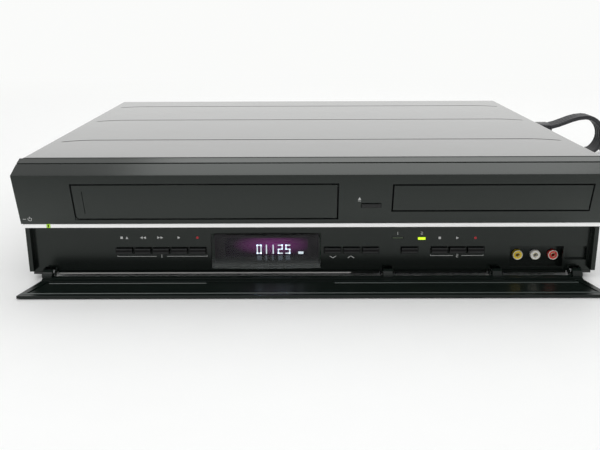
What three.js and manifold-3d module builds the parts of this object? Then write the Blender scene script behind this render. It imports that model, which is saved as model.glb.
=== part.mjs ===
// Disc and cassette combination player, front door open on its stop.
// Millimetres, +X to the right, +Y to the back, +Z up.
// Lengths along Y are measured from the front edge of the top cover until the whole
// player is moved to the centre of its footprint at the end.
import * as THREE from 'three';
import { mergeVertices } from 'three/addons/utils/BufferGeometryUtils.js';
import Module from 'manifold-3d';

const wasm = await Module();
wasm.setup();

// Whole player
const cassetteWidth = 188;
const discRadius = 60;
const flapSideInset = 41.5;
const flapSideGap = 3;
const keyBayWidth = 39.7;
const trayMouthMargin = 12.45;
const trayMouthSideInset = 12.9;
const flapWidth = cassetteWidth + 2 * flapSideGap;
const trayOpeningWidth = 2 * (discRadius + trayMouthMargin);
const fasciaWidth = flapSideInset + flapWidth + keyBayWidth + trayOpeningWidth + trayMouthSideInset;
const coverSideInset = 1;
const coverWidth = fasciaWidth - 2 * coverSideInset;
const driveFrontY = 12;
const driveDepth = 186;
const rearBayDepth = 130;
const coverDepth = driveFrontY + driveDepth + rearBayDepth;
const playerHeight = 94;
const sheetThickness = 1;
const seatGap = 0.3;
const slideGap = 0.4;
const cornerGap = 0.8;
const overrun = 1;
const roundSides = 32;
const smallRoundSides = 16;

// Feet, bottom pan and rear panel
const footHeight = 7;
const footRadius = 17;
const footSides = 20;
const footTaper = 1.5;
const footStudRadius = 2.2;
const footInsetX = 38;
const footFrontY = 36;
const footRearInset = 40;
const panFrontY = 7.5;
const panFlangeHeight = 9;
const panVentCount = 12;
const panVentPitch = 13;
const panVentLength = 42;
const panVentWidth = 4;
const panVentBandY = 70;
const rearPanelInset = 6;
const rearVentCount = 12;
const rearVentPitch = 5;
const rearVentWidth = 2.4;
const rearVentHeight = 22;
const rearVentSideInset = 35.5;
const rearVentX = rearVentSideInset - coverWidth / 2;

// Top cover
const coverSkirtBottom = 9;
const coverBendRadius = 2.5;
const coverBendSteps = 3;
const grooveWidth = 2.4;
const grooveDepth = 0.5;
const grooveSideInset = 10;
const grooveHook = 8;
const grooveHookRun = 26;
const grooveHookSteps = 5;
const groovePlaceShares = [0.225, 0.565, 0.87];
const coverVentCount = 14;
const coverVentPitch = 7;
const coverVentWidth = 2.2;
const coverVentHeight = 18;
const coverVentTopDrop = 16;

// Front fascia
const fasciaWall = 2.5;
const ledgeBackDrop = 0.4;
const ledgeDrop = 2.6;
const ledgeHeight = playerHeight - ledgeDrop;
const ledgeTongue = 8;
const ledgeFrontY = -7.2;
const bevelGroove = 1.4;
const bevelGrooveDepth = 0.8;
const browFrontY = -22.1;
const browDrop = 8.8;
const browHeight = playerHeight - browDrop;
const faceBottomY = -11.6;
const faceHeight = 39;
const faceBottomHeight = browHeight - faceHeight;
const trimHeight = 3.5;
const trimSeatY = -8;
const panelY = -4;
const panelBottomHeight = 5.8;
const cheekFrontY = -10;
const cheekBottomHeight = 8;
const cheekThickness = 3.2;
const cheekInset = 2;
const browWallShare = 0.58;

// Cassette flap
const flapLeftX = flapSideInset - fasciaWidth / 2;
const flapSill = 3.6;
const flapHead = 7.2;
const flapBottomHeight = faceBottomHeight + flapSill;
const flapTopHeight = browHeight - flapHead;
const flapCornerRadius = 2.6;
const flapCornerSteps = 3;
const flapThickness = 2.2;
const flapPinRadius = 1;
const flapPinInset = 2.2;
const flapPinDepth = 2.4;
const flapPinLength = 2.4;
const flapKnuckleRadius = 1.8;
const flapKnuckleLength = 4;
const flapBossSize = 5;

// Disc tray opening
const trayOpeningLeftX = fasciaWidth / 2 - trayMouthSideInset - trayOpeningWidth;
const trayOpeningSill = 9.8;
const trayOpeningHead = 8;
const trayOpeningBottomHeight = faceBottomHeight + trayOpeningSill;
const trayOpeningTopHeight = browHeight - trayOpeningHead;

// Keys, in the order of the front from left to right
const keyWidth = 12;
const keyHeight = 3.9;
const keyRowHeight = 22.6;
const keyProud = 2.2;
const keyTravel = 0.8;
const keyWall = 1.6;
const keyStem = 2.4;
const keyWellMargin = 0.8;
const keyWellDepth = 0.8;
const keyGap = 0.3;
const cassetteKeyFirstX = -142.6;
const cassetteKeyPitch = 13.95;
const channelKeyFirstX = 15.8;
const channelKeyPitch = 14.35;
const selectKeyX = 74.2;
const discKeyFirstX = 96.9;
const discKeyPitch = 13.8;
const trayKeyInset = 15.4;
const trayKeyX = trayOpeningLeftX - trayKeyInset;
const trayKeyRise = 14.4;
const trayKeyHeight = faceBottomHeight + trayKeyRise;
const trayKeyWidth = 14;
const trayKeyTall = 2.8;
const powerKeyWidth = 17.6;
const powerLedWidth = 2.4;
const powerStemWidth = 4;
const powerStemHeight = 1.6;
const trimProud = 3.2;
const keyFlange = 0.5;
const trayKeyProud = 1;

// Display and indicator windows
const windowLeftX = -76.6;
const windowWidth = 83.4;
const windowBottomHeight = 8.4;
const windowTopDrop = 10.2;
const windowTopHeight = faceBottomHeight - windowTopDrop;
const windowProud = 1.4;
const windowWall = 1.6;
const windowBow = 1.6;
const windowBowSteps = 8;
const tubeWidth = 66;
const tubeHeight = 17;
const tubeDepth = 3.2;
const tubeHeightAboveSill = 5;
const cassetteLedX = 65.1;
const cassetteLedHeight = 32.2;
const cassetteLedWidth = 8.4;
const cassetteLedTall = 1.2;
const discLedX = 83.3;
const discLedHeight = 31.6;
const discLedWidth = 6;
const discLedTall = 2.2;

// Front jacks
const jackPitch = 13.6;
const jackHeight = 16.4;
const jackBarrelRadius = 3.8;
const jackBoreRadius = 1.65;
const jackCollarRadius = 5.4;
const jackRecessSideInset = 65.5;
const jackRecessLeftX = fasciaWidth / 2 - jackRecessSideInset;
const jackFirstInset = 7.6;
const jackFirstX = jackRecessLeftX + jackFirstInset;
const jackRecessWidth = 40.4;
const jackRecessBottomHeight = 9;
const jackRecessTopHeight = 25.2;
const jackRecessDepth = 8;
const jackProud = 2.5;
const blankRecessWidth = 16.5;
const blankRecessDepth = 3;
const blankRecessBottomHeight = 14.5;
const blankRecessGap = 1.5;

// Front door and its hinge
const doorThickness = 2.2;
const doorBottomHeight = 0.7;
const doorHingeEdgeY = -11.2;
const doorHingeEdgeInset = 13.5;
const doorFreeEdgeInset = 4.5;
const doorHingeEdgeHalfWidth = fasciaWidth / 2 - doorHingeEdgeInset;
const doorFreeEdgeHalfWidth = fasciaWidth / 2 - doorFreeEdgeInset;
const doorRailDepth = 5.5;
const doorRailTop = 4.6;
const doorRimDepth = 0.6;
const doorRimWidth = 5;
const doorPivotY = -9;
const doorPivotHeight = 4.2;
const doorClosedGap = 0.4;
const hingePinRadius = 0.9;
const hingePinGap = 0.2;
const hingeEyeRadius = 2.1;
const hingeEarRadius = 1.8;
const hingeArmWidth = 7;
const hingeArmHump = 5;
const hingeArmSteps = 5;
const hingeEarWidth = 1.2;
const hingeEarTopHeight = 9;
const hingeArmReach = 8;
const hingeNotchTopHeight = 9.8;
const hingeEndInset = 16;
const hingeMiddlePlaces = [57.5, 140];

// Front board
const frontBoardY = 8.6;
const boardThickness = 1.6;
const frontBoardBottomHeight = 11;
const frontBoardTopHeight = 40;
const switchWidth = 6;
const switchDepth = 2.8;
const frontBoardInset = 14.5;

// Cassette deck
const cassetteThickness = 25;
const holderClearance = 1;
const holderWall = 1.2;
const holderFrontY = 12;
const holderDepth = 98;
const holderTravel = 60;
const holderStrapDepth = 12;
const deckWall = 1.2;
const deckSideGap = 2.4;
const deckFloorHeight = 18;
const deckFrontY = 14;
const deckDepth = 236;
const deckSideTopDrop = 10;
const deckSideTopHeight = playerHeight - deckSideTopDrop;
const deckLegSize = 10;
const deckLegInset = 8;
const guideSlotHeight = 3;
const guideSlotRise = 14;
const guidePinRadius = 1.1;
const guidePinFrontShare = 0.16;
const guidePinRearShare = 0.84;
const drumRadius = 31;
const drumClearance = 6;
const drumPostHeight = 15;
const drumBaseHeight = 18;
const drumTopHeight = 20;
const drumGap = 0.4;
const drumShaftRadius = 4;
const reelSpacing = 92;
const reelSetback = 40;
const reelTableRadius = 20;
const reelTableHeight = 5;
const reelHubRadius = 10;
const reelHubHeight = 15;
const reelSplineRadius = 12;
const reelSplineCount = 6;
const reelSplineWidth = 2.4;
const reelPostRadius = 2;
const bearingGap = 0.3;
const capstanRadius = 2;
const capstanHeight = 34;
const flywheelRadius = 17;
const flywheelHeight = 5;
const capstanShare = 0.33;
const capstanForward = 30;
const rollerRadius = 7;
const rollerHeight = 18;
const rollerPostRadius = 2;
const rollerGap = 0.6;
const pinchArmReach = 16;
const pinchArmWidth = 9;
const pinchArmThickness = 2;
const pinchArmLift = 6;

// Disc drive
const driveSideMargin = 1.3;
const driveLedgeReach = 4;
const driveLedgeThickness = 2;
const driveWall = 2;
const driveBottomDrop = 30;
const driveSideRise = 15;
const driveLegSize = 9;
const trayThickness = 6;
const trayRise = 4;
const trayHeight = trayOpeningBottomHeight + trayRise;
const trayMargin = 7;
const trayFrontY = -10;
const trayLength = 178;
const wellClearance = 1.2;
const wellDepth = 2.2;
const wellSetback = 82;
const wellSides = 48;
const traySlotWidth = 33;
const bezelGap = 0.7;
const bezelThickness = 3;
const rackModule = 1.5;
const rackHeight = 3.6;
const rackBody = 3;
const rackInset = 6;
const rackTeeth = 31;
const rackLead = 1;
const dedendumShare = 1.25;
const gearTeeth = 30;
const gearPhaseShare = 0.5;
const gearTopGap = 0.6;
const gearBacklash = 0.2;
const gearY = 22;
const gearHeight = 3.6;
const gearPostRadius = 5;
const gearPinRadius = 2.1;
const pressureAngleShare = 0.1111;
const gearFlankSteps = 3;
const clampRadius = 15;
const clampNeckRadius = 11.5;
const clampThickness = 1.8;
const clampClearance = 1.8;
const clampLift = 0.6;
const bridgeDepth = 44;
const bridgeThickness = 1.5;
const bridgeRise = 12;
const turntableRadius = 14.5;
const turntableProud = 0.6;
const turntableThickness = 2.4;
const turntableConeRadius = 7.4;
const turntableConeHeight = 1.4;
const spindleRadius = 1.6;
const motorRadius = 12;
const motorHeight = 7;
const traverseWidth = 44;
const traverseLength = 104;
const traverseThickness = 2;
const traverseForward = 24;
const traverseDrop = 10;
const traversePinRadius = 1.5;
const traversePinInset = 4;
const traverseEarThickness = 3;
const traverseEarDepth = 8;
const railRadius = 1.5;
const railSpread = 32;
const sledWidth = 24;
const sledLength = 20;
const sledHeight = 7;
const sledSetback = 15;
const lensRadius = 4;
const lensHeight = 1.6;
const sledFootMargin = 3;
const railLift = 3;
const railBlock = 2;
const railFront = 36;
const sledGap = 1;

const driveBottomHeight = trayHeight - driveBottomDrop;
const driveSideTopHeight = trayHeight + driveSideRise;
const bridgeHeight = trayHeight + bridgeRise;
const traverseHeight = trayHeight - traverseDrop;

// Boards at the back and the rear connectors
const boardHeight = 14;
const mainBoardDepth = 52;
const mainBoardSideInset = 8;
const powerBoardWidth = 84;
const powerBoardDepth = 96;
const boardPostSize = 6;
const transformerSize = 34;
const transformerHeight = 30;
const coreShare = 0.6;
const coilShare = 0.76;
const capacitorRadius = 11;
const capacitorHeight = 32;
const heatSinkWidth = 50;
const heatSinkPlate = 3;
const finCount = 6;
const finDepth = 9;
const finThickness = 2;
const heatSinkHeight = 40;
const boardRearGap = 3;
const rearJackPitch = 14;
const rearJackColumns = 4;
const rearJackRows = 2;
const rearJackBlockX = -62;
const rearJackBlockHeight = 30;
const rearJackSides = 12;
const rearJackBlockDepth = 10;
const rearJackProud = 7;
const tunerWidth = 30;
const tunerDepth = 44;
const tunerHeight = 44;
const tunerX = -128;
const tunerSocketRadius = 4.6;
const tunerSocketSpacing = 18;
const tunerSocketProud = 8;
const tunerSocketBore = 2.4;

// Mains lead
const cordDiameter = 6;
const cordSideInset = 43.5;
const cordX = coverWidth / 2 - cordSideInset;
const cordHeight = 34;
const reliefLength = 26;
const reliefRootRadius = 5.6;
const reliefTipRadius = 4;
const reliefCollarRadius = 8;
const reliefCollarThickness = 2;
const cordSides = 8;
const cordSteps = 34;
const leadStraight = 7.4;
const leadFallLength = 66;
const leadFallSteps = 8;
const leadTurnRadius = 40;
const leadTurnSteps = 5;
const hankEndReach = 35;
const plugRiseLength = 24;
const plugRiseSteps = 5;
const hankCentreX = 322;
const hankY = 466;
const hankRun = 106;
const hankLoops = 4;
const hankPitch = 6.9;
const hankBendRadius = 25.5;
const hankWaist = 14;
const hankRunSteps = 5;
const hankBendSteps = 7;
const hankSides = 6;
const plugBodyWidth = 24;
const plugBodyHeight = 15;
const plugBodyLength = 30;
const plugBladeWidth = 6.3;
const plugBladeThickness = 1.5;
const plugBladeLength = 17;
const plugBladeSpacing = 12.7;
const plugNeckRadius = 4.6;
const plugNeckLength = 12;

// Finishes
const finish = (color, roughness, metalness) =>
  new THREE.MeshStandardMaterial({ color, roughness, metalness });
const coverPaint = finish(0x4a4b4d, 0.42, 0.35);
const galvanised = finish(0xa9adb0, 0.4, 0.85);
const blackMoulding = finish(0x202423, 0.45, 0);
const glossMoulding = finish(0x101817, 0.18, 0);
const silverTrim = finish(0xd9dcde, 0.3, 0.6);
const rubber = finish(0x1a1a1a, 0.9, 0);
const smokedWindow = finish(0x14101c, 0.08, 0);
const displayGlass = finish(0x3c2a5a, 0.15, 0);
const greenLens = finish(0xb8e04a, 0.3, 0);
const circuitBoard = finish(0x2d5a34, 0.6, 0);
const machinedMetal = finish(0xc6c9cc, 0.25, 0.95);
const naturalPlastic = finish(0xd8d4c8, 0.55, 0);
const yellowPlastic = finish(0xe0c91a, 0.4, 0);
const whitePlastic = finish(0xe9e9e6, 0.4, 0);
const redPlastic = finish(0xb02030, 0.4, 0);

// Closed solids from the stock geometries
const toSolid = (geometry) => {
  geometry.deleteAttribute('normal');
  geometry.deleteAttribute('uv');
  const merged = mergeVertices(geometry);
  const index = merged.getIndex().array;
  const triangles = [];
  for (let i = 0; i < index.length; i += 3) {
    const [a, b, c] = [index[i], index[i + 1], index[i + 2]];
    if (a !== b && b !== c && c !== a) triangles.push(a, b, c);
  }
  const mesh = new wasm.Mesh({
    numProp: 3,
    vertProperties: new Float32Array(merged.getAttribute('position').array),
    triVerts: new Uint32Array(triangles),
  });
  return new wasm.Manifold(mesh);
};
const middle = (a, b) => (a + b) / 2;
const around = (centre, size) => [centre - size / 2, centre + size / 2];
const join = (solids) => solids.reduce((whole, solid) => whole.add(solid));
const cutAll = (solid, tools) => tools.reduce((whole, tool) => whole.subtract(tool), solid);
const block = ([xa, xb], [ya, yb], [za, zb]) => {
  const geometry = new THREE.BoxGeometry(xb - xa, yb - ya, zb - za);
  geometry.translate(middle(xa, xb), middle(ya, yb), middle(za, zb));
  return toSolid(geometry);
};
const extruded = (points, depth) => {
  const shape = new THREE.Shape(points.map(([a, b]) => new THREE.Vector2(a, b)));
  return new THREE.ExtrudeGeometry(shape, { depth, bevelEnabled: false, steps: 1 });
};
const alongX = (points, [xa, xb]) => {
  const geometry = extruded(points, xb - xa);
  const turn = new THREE.Matrix4().makeBasis(
    new THREE.Vector3(0, 1, 0),
    new THREE.Vector3(0, 0, 1),
    new THREE.Vector3(1, 0, 0),
  );
  geometry.applyMatrix4(turn);
  geometry.translate(xa, 0, 0);
  return toSolid(geometry);
};
const alongY = (points, [ya, yb]) => {
  const geometry = extruded(points, yb - ya);
  geometry.rotateX(Math.PI / 2);
  geometry.translate(0, yb, 0);
  return toSolid(geometry);
};
const alongZ = (points, [za, zb]) => {
  const geometry = extruded(points, zb - za);
  geometry.translate(0, 0, za);
  return toSolid(geometry);
};
const rod = (axis, [x, y, z], radius, length, sides = smallRoundSides, endRadius = radius) => {
  const geometry = new THREE.CylinderGeometry(endRadius, radius, length, sides);
  geometry.translate(0, length / 2, 0);
  if (axis === 'x') geometry.rotateZ(-Math.PI / 2);
  if (axis === 'z') geometry.rotateX(Math.PI / 2);
  geometry.translate(x, y, z);
  return toSolid(geometry);
};
const turned = (profile, [x, y, z], sides = roundSides, axis = 'z') => {
  const points = profile.map(([r, h]) => new THREE.Vector2(r, h));
  const geometry = new THREE.LatheGeometry(points, sides);
  if (axis === 'x') geometry.rotateZ(-Math.PI / 2);
  if (axis === 'z') geometry.rotateX(Math.PI / 2);
  geometry.translate(x, y, z);
  return toSolid(geometry);
};
const toGeometry = (solid) => {
  const mesh = solid.getMesh();
  const geometry = new THREE.BufferGeometry();
  geometry.setAttribute('position', new THREE.BufferAttribute(mesh.vertProperties, 3));
  geometry.setIndex(new THREE.BufferAttribute(mesh.triVerts, 1));
  geometry.computeVertexNormals();
  return geometry;
};
const player = new THREE.Group();
const addPiece = (name, geometry, material) => {
  const mesh = new THREE.Mesh(geometry, material);
  mesh.name = name;
  player.add(mesh);
};
const addSolid = (name, solid, material) => addPiece(name, toGeometry(solid), material);

// Places that several pieces share
const halfCover = coverWidth / 2;
const halfFascia = fasciaWidth / 2;
const coverInner = halfCover - sheetThickness;
const coverUnderside = playerHeight - sheetThickness;
const panBottom = footHeight + seatGap;
const panTop = panBottom + sheetThickness;
const rearPanelY = coverDepth - rearPanelInset;
const faceLean = (faceBottomY - browFrontY) / (browHeight - faceBottomHeight);
const faceYAt = (height) => browFrontY + (browHeight - height) * faceLean;
const trimBottomHeight = faceBottomHeight - trimHeight;
const halfPanel = halfFascia - cheekInset;

// Bottom pan: folded sheet with side and front flanges and rows of vents
const panSides = [-(coverInner - slideGap), coverInner - slideGap];
const panBack = rearPanelY - seatGap;
const panFloor = block(panSides, [panFrontY, panBack], [panBottom, panTop]);
const panFlangeTop = panTop + panFlangeHeight;
const panFlanges = [
  block([panSides[0], panSides[0] + sheetThickness], [panFrontY, panBack], [panBottom, panFlangeTop]),
  block([panSides[1] - sheetThickness, panSides[1]], [panFrontY, panBack], [panBottom, panFlangeTop]),
];
const panVents = [];
for (let i = 0; i < panVentCount; i += 1) {
  const x = (i - (panVentCount - 1) / 2) * panVentPitch;
  panVents.push(block(
    around(x, panVentWidth),
    [panVentBandY, panVentBandY + panVentLength],
    [panBottom - overrun, panTop + overrun],
  ));
}
addSolid('bottom_pan', cutAll(join([panFloor, ...panFlanges]), panVents), galvanised);

// Feet: turned rubber pads under the corners of the pan
const footPlaces = {
  foot_front_left: [-(halfCover - footInsetX), footFrontY],
  foot_front_right: [halfCover - footInsetX, footFrontY],
  foot_rear_left: [-(halfCover - footInsetX), coverDepth - footRearInset],
  foot_rear_right: [halfCover - footInsetX, coverDepth - footRearInset],
};
for (const [name, [x, y]] of Object.entries(footPlaces)) {
  const profile = [
    [0, footTaper],
    [footStudRadius, footTaper],
    [footStudRadius + footTaper, 0],
    [footRadius - footTaper, 0],
    [footRadius, footTaper],
    [footRadius, footHeight],
    [0, footHeight],
  ];
  addSolid(name, turned(profile, [x, y, 0], footSides), rubber);
}

// Top cover: one sheet bent down both sides, with three pressed grooves across the top
const bendPoints = (radius, inset) => {
  const points = [];
  for (let i = 0; i <= coverBendSteps; i += 1) {
    const angle = (i / coverBendSteps) * (Math.PI / 2);
    points.push([
      halfCover - inset - radius + radius * Math.sin(angle),
      playerHeight - inset - radius + radius * Math.cos(angle),
    ]);
  }
  return points;
};
const outerBend = bendPoints(coverBendRadius, 0);
const innerBend = bendPoints(coverBendRadius - sheetThickness, sheetThickness);
const mirrored = (points) => points.map(([x, z]) => [-x, z]).reverse();
const coverSection = [
  ...mirrored(outerBend),
  ...outerBend,
  [halfCover, coverSkirtBottom],
  [coverInner, coverSkirtBottom],
  ...[...innerBend].reverse(),
  ...mirrored([...innerBend].reverse()),
  [-coverInner, coverSkirtBottom],
  [-halfCover, coverSkirtBottom],
];
const grooveLine = (y) => {
  const reach = halfCover - grooveSideInset;
  const bend = [];
  for (let i = 0; i <= grooveHookSteps; i += 1) {
    const share = i / grooveHookSteps;
    bend.push([reach - grooveHookRun * (1 - share), y - grooveHook * share * share]);
  }
  return [...bend.map(([x, v]) => [-x, v]).reverse(), ...bend];
};
const grooves = groovePlaceShares.map((share) => {
  const line = grooveLine(share * coverDepth);
  const back = line.map(([x, y]) => [x, y + grooveWidth / 2]).reverse();
  const front = line.map(([x, y]) => [x, y - grooveWidth / 2]);
  return alongZ([...front, ...back], [playerHeight - grooveDepth, playerHeight + overrun]);
});
const coverVents = [];
for (let i = 0; i < coverVentCount; i += 1) {
  const y = coverDepth / 2 + i * coverVentPitch;
  coverVents.push(block(
    [-(halfCover + overrun), halfCover + overrun],
    around(y, coverVentWidth),
    [playerHeight - coverVentTopDrop - coverVentHeight, playerHeight - coverVentTopDrop],
  ));
}
const coverShell = alongY(coverSection, [0, coverDepth]);
addSolid('top_cover', cutAll(coverShell, [...grooves, ...coverVents]), coverPaint);

// Front fascia: one black moulding with a bevelled brow, a leaning upper face with the
// two mouths, and a recessed lower panel between cheeks
const faceWall = fasciaWall * Math.hypot(1, faceLean);
const flangeBackY = panFrontY - seatGap;
const browInner = browHeight - fasciaWall * browWallShare;
const skinInner = faceBottomHeight + fasciaWall;
const tongueTop = coverUnderside - cornerGap;
const ledgeBackHeight = playerHeight - ledgeBackDrop;
const fasciaOutline = [
  [ledgeTongue, tongueTop],
  [-seatGap, tongueTop],
  [-seatGap, ledgeBackHeight],
  [ledgeFrontY, ledgeHeight],
  [browFrontY, browHeight],
  [faceBottomY, faceBottomHeight],
  [trimSeatY, faceBottomHeight],
  [trimSeatY, trimBottomHeight],
  [panelY, trimBottomHeight],
  [panelY, panelBottomHeight],
  [flangeBackY, panelBottomHeight],
  [flangeBackY, panelBottomHeight + fasciaWall],
  [panelY + fasciaWall, panelBottomHeight + fasciaWall],
  [panelY + fasciaWall, trimBottomHeight + fasciaWall],
  [trimSeatY + fasciaWall, trimBottomHeight + fasciaWall],
  [trimSeatY + fasciaWall, skinInner],
  [faceYAt(skinInner) + faceWall, skinInner],
  [faceYAt(browInner) + faceWall, browInner],
  [ledgeFrontY, ledgeHeight - fasciaWall],
  [ledgeTongue, ledgeHeight - fasciaWall],
];
const upperEndOutline = [
  [-seatGap, ledgeBackHeight],
  [ledgeFrontY, ledgeHeight],
  [browFrontY, browHeight],
  [faceBottomY, faceBottomHeight],
  [trimSeatY, faceBottomHeight],
  [trimSeatY, trimBottomHeight],
  [-seatGap, trimBottomHeight],
];
const bothSides = (inner, outer) => [[-outer, -inner], [inner, outer]];
const farBack = rearPanelY;
const fasciaBody = [alongX(fasciaOutline, [-halfFascia, halfFascia])];
for (const side of bothSides(halfFascia - fasciaWall, halfFascia)) {
  fasciaBody.push(alongX(upperEndOutline, side));
}
for (const side of bothSides(halfPanel - cheekThickness, halfPanel)) {
  fasciaBody.push(block(side, [cheekFrontY, -seatGap], [cheekBottomHeight, trimBottomHeight]));
}
const fasciaTrims = [];
for (const side of bothSides(coverInner - cornerGap, halfFascia + overrun)) {
  fasciaTrims.push(block(side, [-seatGap, farBack], [0, playerHeight]));
}
for (const side of bothSides(halfPanel, halfFascia + overrun)) {
  fasciaTrims.push(block(side, [trimSeatY, farBack], [0, trimBottomHeight]));
}
fasciaTrims.push(block(
  [-(halfFascia + overrun), halfFascia + overrun],
  [ledgeFrontY - bevelGroove, ledgeFrontY],
  [ledgeHeight - 2 * bevelGrooveDepth, playerHeight],
));

// Mouths for the cassette and the disc tray
const faceSpan = [browFrontY - overrun, panelY];
const flapMouthX = [flapLeftX, flapLeftX + flapWidth];
const flapMouthZ = [flapBottomHeight, flapTopHeight];
const trayMouthX = [trayOpeningLeftX, trayOpeningLeftX + trayOpeningWidth];
const trayMouthZ = [trayOpeningBottomHeight, trayOpeningTopHeight];
const flapOutline = (inset) => {
  const points = [
    [flapMouthX[1] - inset, flapMouthZ[0] + inset],
    [flapMouthX[1] - inset, flapMouthZ[1] - inset],
    [flapMouthX[0] + inset, flapMouthZ[1] - inset],
  ];
  for (let i = 0; i <= flapCornerSteps; i += 1) {
    const angle = Math.PI + (i / flapCornerSteps) * (Math.PI / 2);
    points.push([
      flapMouthX[0] + flapCornerRadius + (flapCornerRadius - inset) * Math.cos(angle),
      flapMouthZ[0] + flapCornerRadius + (flapCornerRadius - inset) * Math.sin(angle),
    ]);
  }
  return points;
};
fasciaTrims.push(alongY(flapOutline(0), faceSpan));
fasciaTrims.push(block(trayMouthX, faceSpan, trayMouthZ));

// Keys of the lower panel: name and middle along X
const lowerKeys = {
  stop_eject_key: cassetteKeyFirstX,
  rewind_key: cassetteKeyFirstX + cassetteKeyPitch,
  forward_key: cassetteKeyFirstX + 2 * cassetteKeyPitch,
  play_key: cassetteKeyFirstX + 3 * cassetteKeyPitch,
  record_key: cassetteKeyFirstX + 4 * cassetteKeyPitch,
  channel_down_key: channelKeyFirstX,
  channel_up_key: channelKeyFirstX + channelKeyPitch,
  dubbing_key: channelKeyFirstX + 2 * channelKeyPitch,
  select_key: selectKeyX,
  disc_stop_key: discKeyFirstX,
  disc_play_key: discKeyFirstX + discKeyPitch,
  disc_record_key: discKeyFirstX + 2 * discKeyPitch,
};
const panelSpan = [panelY - overrun, panelY + fasciaWall + overrun];
const keyRow = around(keyRowHeight, keyHeight);
const grown = ([low, high], margin) => [low - margin, high + margin];
for (const x of Object.values(lowerKeys)) {
  const width = around(x, keyWidth);
  fasciaTrims.push(block(grown(width, keyGap), panelSpan, grown(keyRow, keyGap)));
  fasciaTrims.push(block(
    grown(width, keyWellMargin),
    [panelY - overrun, panelY + keyWellDepth],
    grown(keyRow, keyWellMargin),
  ));
}
const trayKeySpan = around(trayKeyX, trayKeyWidth);
const trayKeyZ = around(trayKeyHeight, trayKeyTall);
fasciaTrims.push(block(grown(trayKeySpan, keyGap), faceSpan, grown(trayKeyZ, keyGap)));

// Power key at the left end of the trim, its lamp beside it
const powerKeyX = [-(halfFascia - overrun), -(halfFascia - overrun) + powerKeyWidth];
const powerStemX = around(middle(...powerKeyX), powerStemWidth);
const trimZ = [trimBottomHeight + seatGap, faceBottomHeight - seatGap];
const powerStemZ = around(middle(...trimZ), powerStemHeight);
fasciaTrims.push(block(
  grown(powerStemX, keyGap),
  [trimSeatY - overrun, trimSeatY + fasciaWall + overrun],
  grown(powerStemZ, keyGap),
));

// Windows of the lower panel
const windowX = [windowLeftX, windowLeftX + windowWidth];
const windowZ = [windowBottomHeight, windowTopHeight];
fasciaTrims.push(block(windowX, panelSpan, windowZ));
const cassetteLed = [around(cassetteLedX, cassetteLedWidth), around(cassetteLedHeight, cassetteLedTall)];
const discLed = [around(discLedX, discLedWidth), around(discLedHeight, discLedTall)];
for (const [x, z] of [cassetteLed, discLed]) fasciaTrims.push(block(x, panelSpan, z));

// Recess of the front jacks, with a wall behind that the barrels pass through
const recessX = [jackRecessLeftX, jackRecessLeftX + jackRecessWidth];
const recessZ = [jackRecessBottomHeight, jackRecessTopHeight];
const recessBackY = panelY + jackRecessDepth;
fasciaBody.push(block(
  grown(recessX, fasciaWall),
  [panelY, recessBackY + fasciaWall],
  [jackRecessBottomHeight - fasciaWall, jackRecessTopHeight + fasciaWall],
));
fasciaTrims.push(block(recessX, [panelY - overrun, recessBackY], recessZ));
const jackNames = ['video_jack', 'left_audio_jack', 'right_audio_jack'];
const jackPlaces = jackNames.map((name, i) => [name, jackFirstX + i * jackPitch]);
for (const [, x] of jackPlaces) {
  fasciaTrims.push(rod(
    'y',
    [x, recessBackY - overrun, jackHeight],
    jackBarrelRadius + seatGap,
    fasciaWall + 2 * overrun,
  ));
}
const blankX = recessX[1] + blankRecessGap;
const blankMouth = [blankX, blankX + blankRecessWidth];
const blankBackY = panelY + blankRecessDepth;
fasciaBody.push(block(
  blankMouth,
  [panelY + fasciaWall, blankBackY + fasciaWall],
  [blankRecessBottomHeight - fasciaWall, jackRecessTopHeight + fasciaWall],
));
fasciaTrims.push(block(
  blankMouth,
  [panelY - overrun, blankBackY],
  [blankRecessBottomHeight, jackRecessTopHeight],
));

// Hinge notches in the foot of the lower panel; ears beside each carry a pin
const hingeEndX = halfFascia - hingeEndInset;
const hingeArmPlaces = [-hingeEndX, ...hingeMiddlePlaces, hingeEndX];
const notchHalf = hingeArmWidth / 2 + slideGap;
const earOutline = () => {
  const points = [[panelY + seatGap, panelBottomHeight]];
  for (let i = 0; i <= smallRoundSides / 2; i += 1) {
    const angle = -Math.PI / 2 - (i / (smallRoundSides / 2)) * Math.PI;
    points.push([
      doorPivotY + hingeEarRadius * Math.cos(angle),
      doorPivotHeight + hingeEarRadius * Math.sin(angle),
    ]);
  }
  points.push([panelY + seatGap, hingeEarTopHeight]);
  return points;
};
const hingeParts = [];
for (const x of hingeArmPlaces) {
  fasciaTrims.push(block(
    [x - notchHalf, x + notchHalf],
    panelSpan,
    [panelBottomHeight - overrun, hingeNotchTopHeight],
  ));
  hingeParts.push(alongX(earOutline(), [x - notchHalf - hingeEarWidth, x - notchHalf]));
  hingeParts.push(alongX(earOutline(), [x + notchHalf, x + notchHalf + hingeEarWidth]));
  hingeParts.push(rod(
    'x',
    [x - notchHalf - seatGap, doorPivotY, doorPivotHeight],
    hingePinRadius,
    2 * (notchHalf + seatGap),
  ));
}

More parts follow.
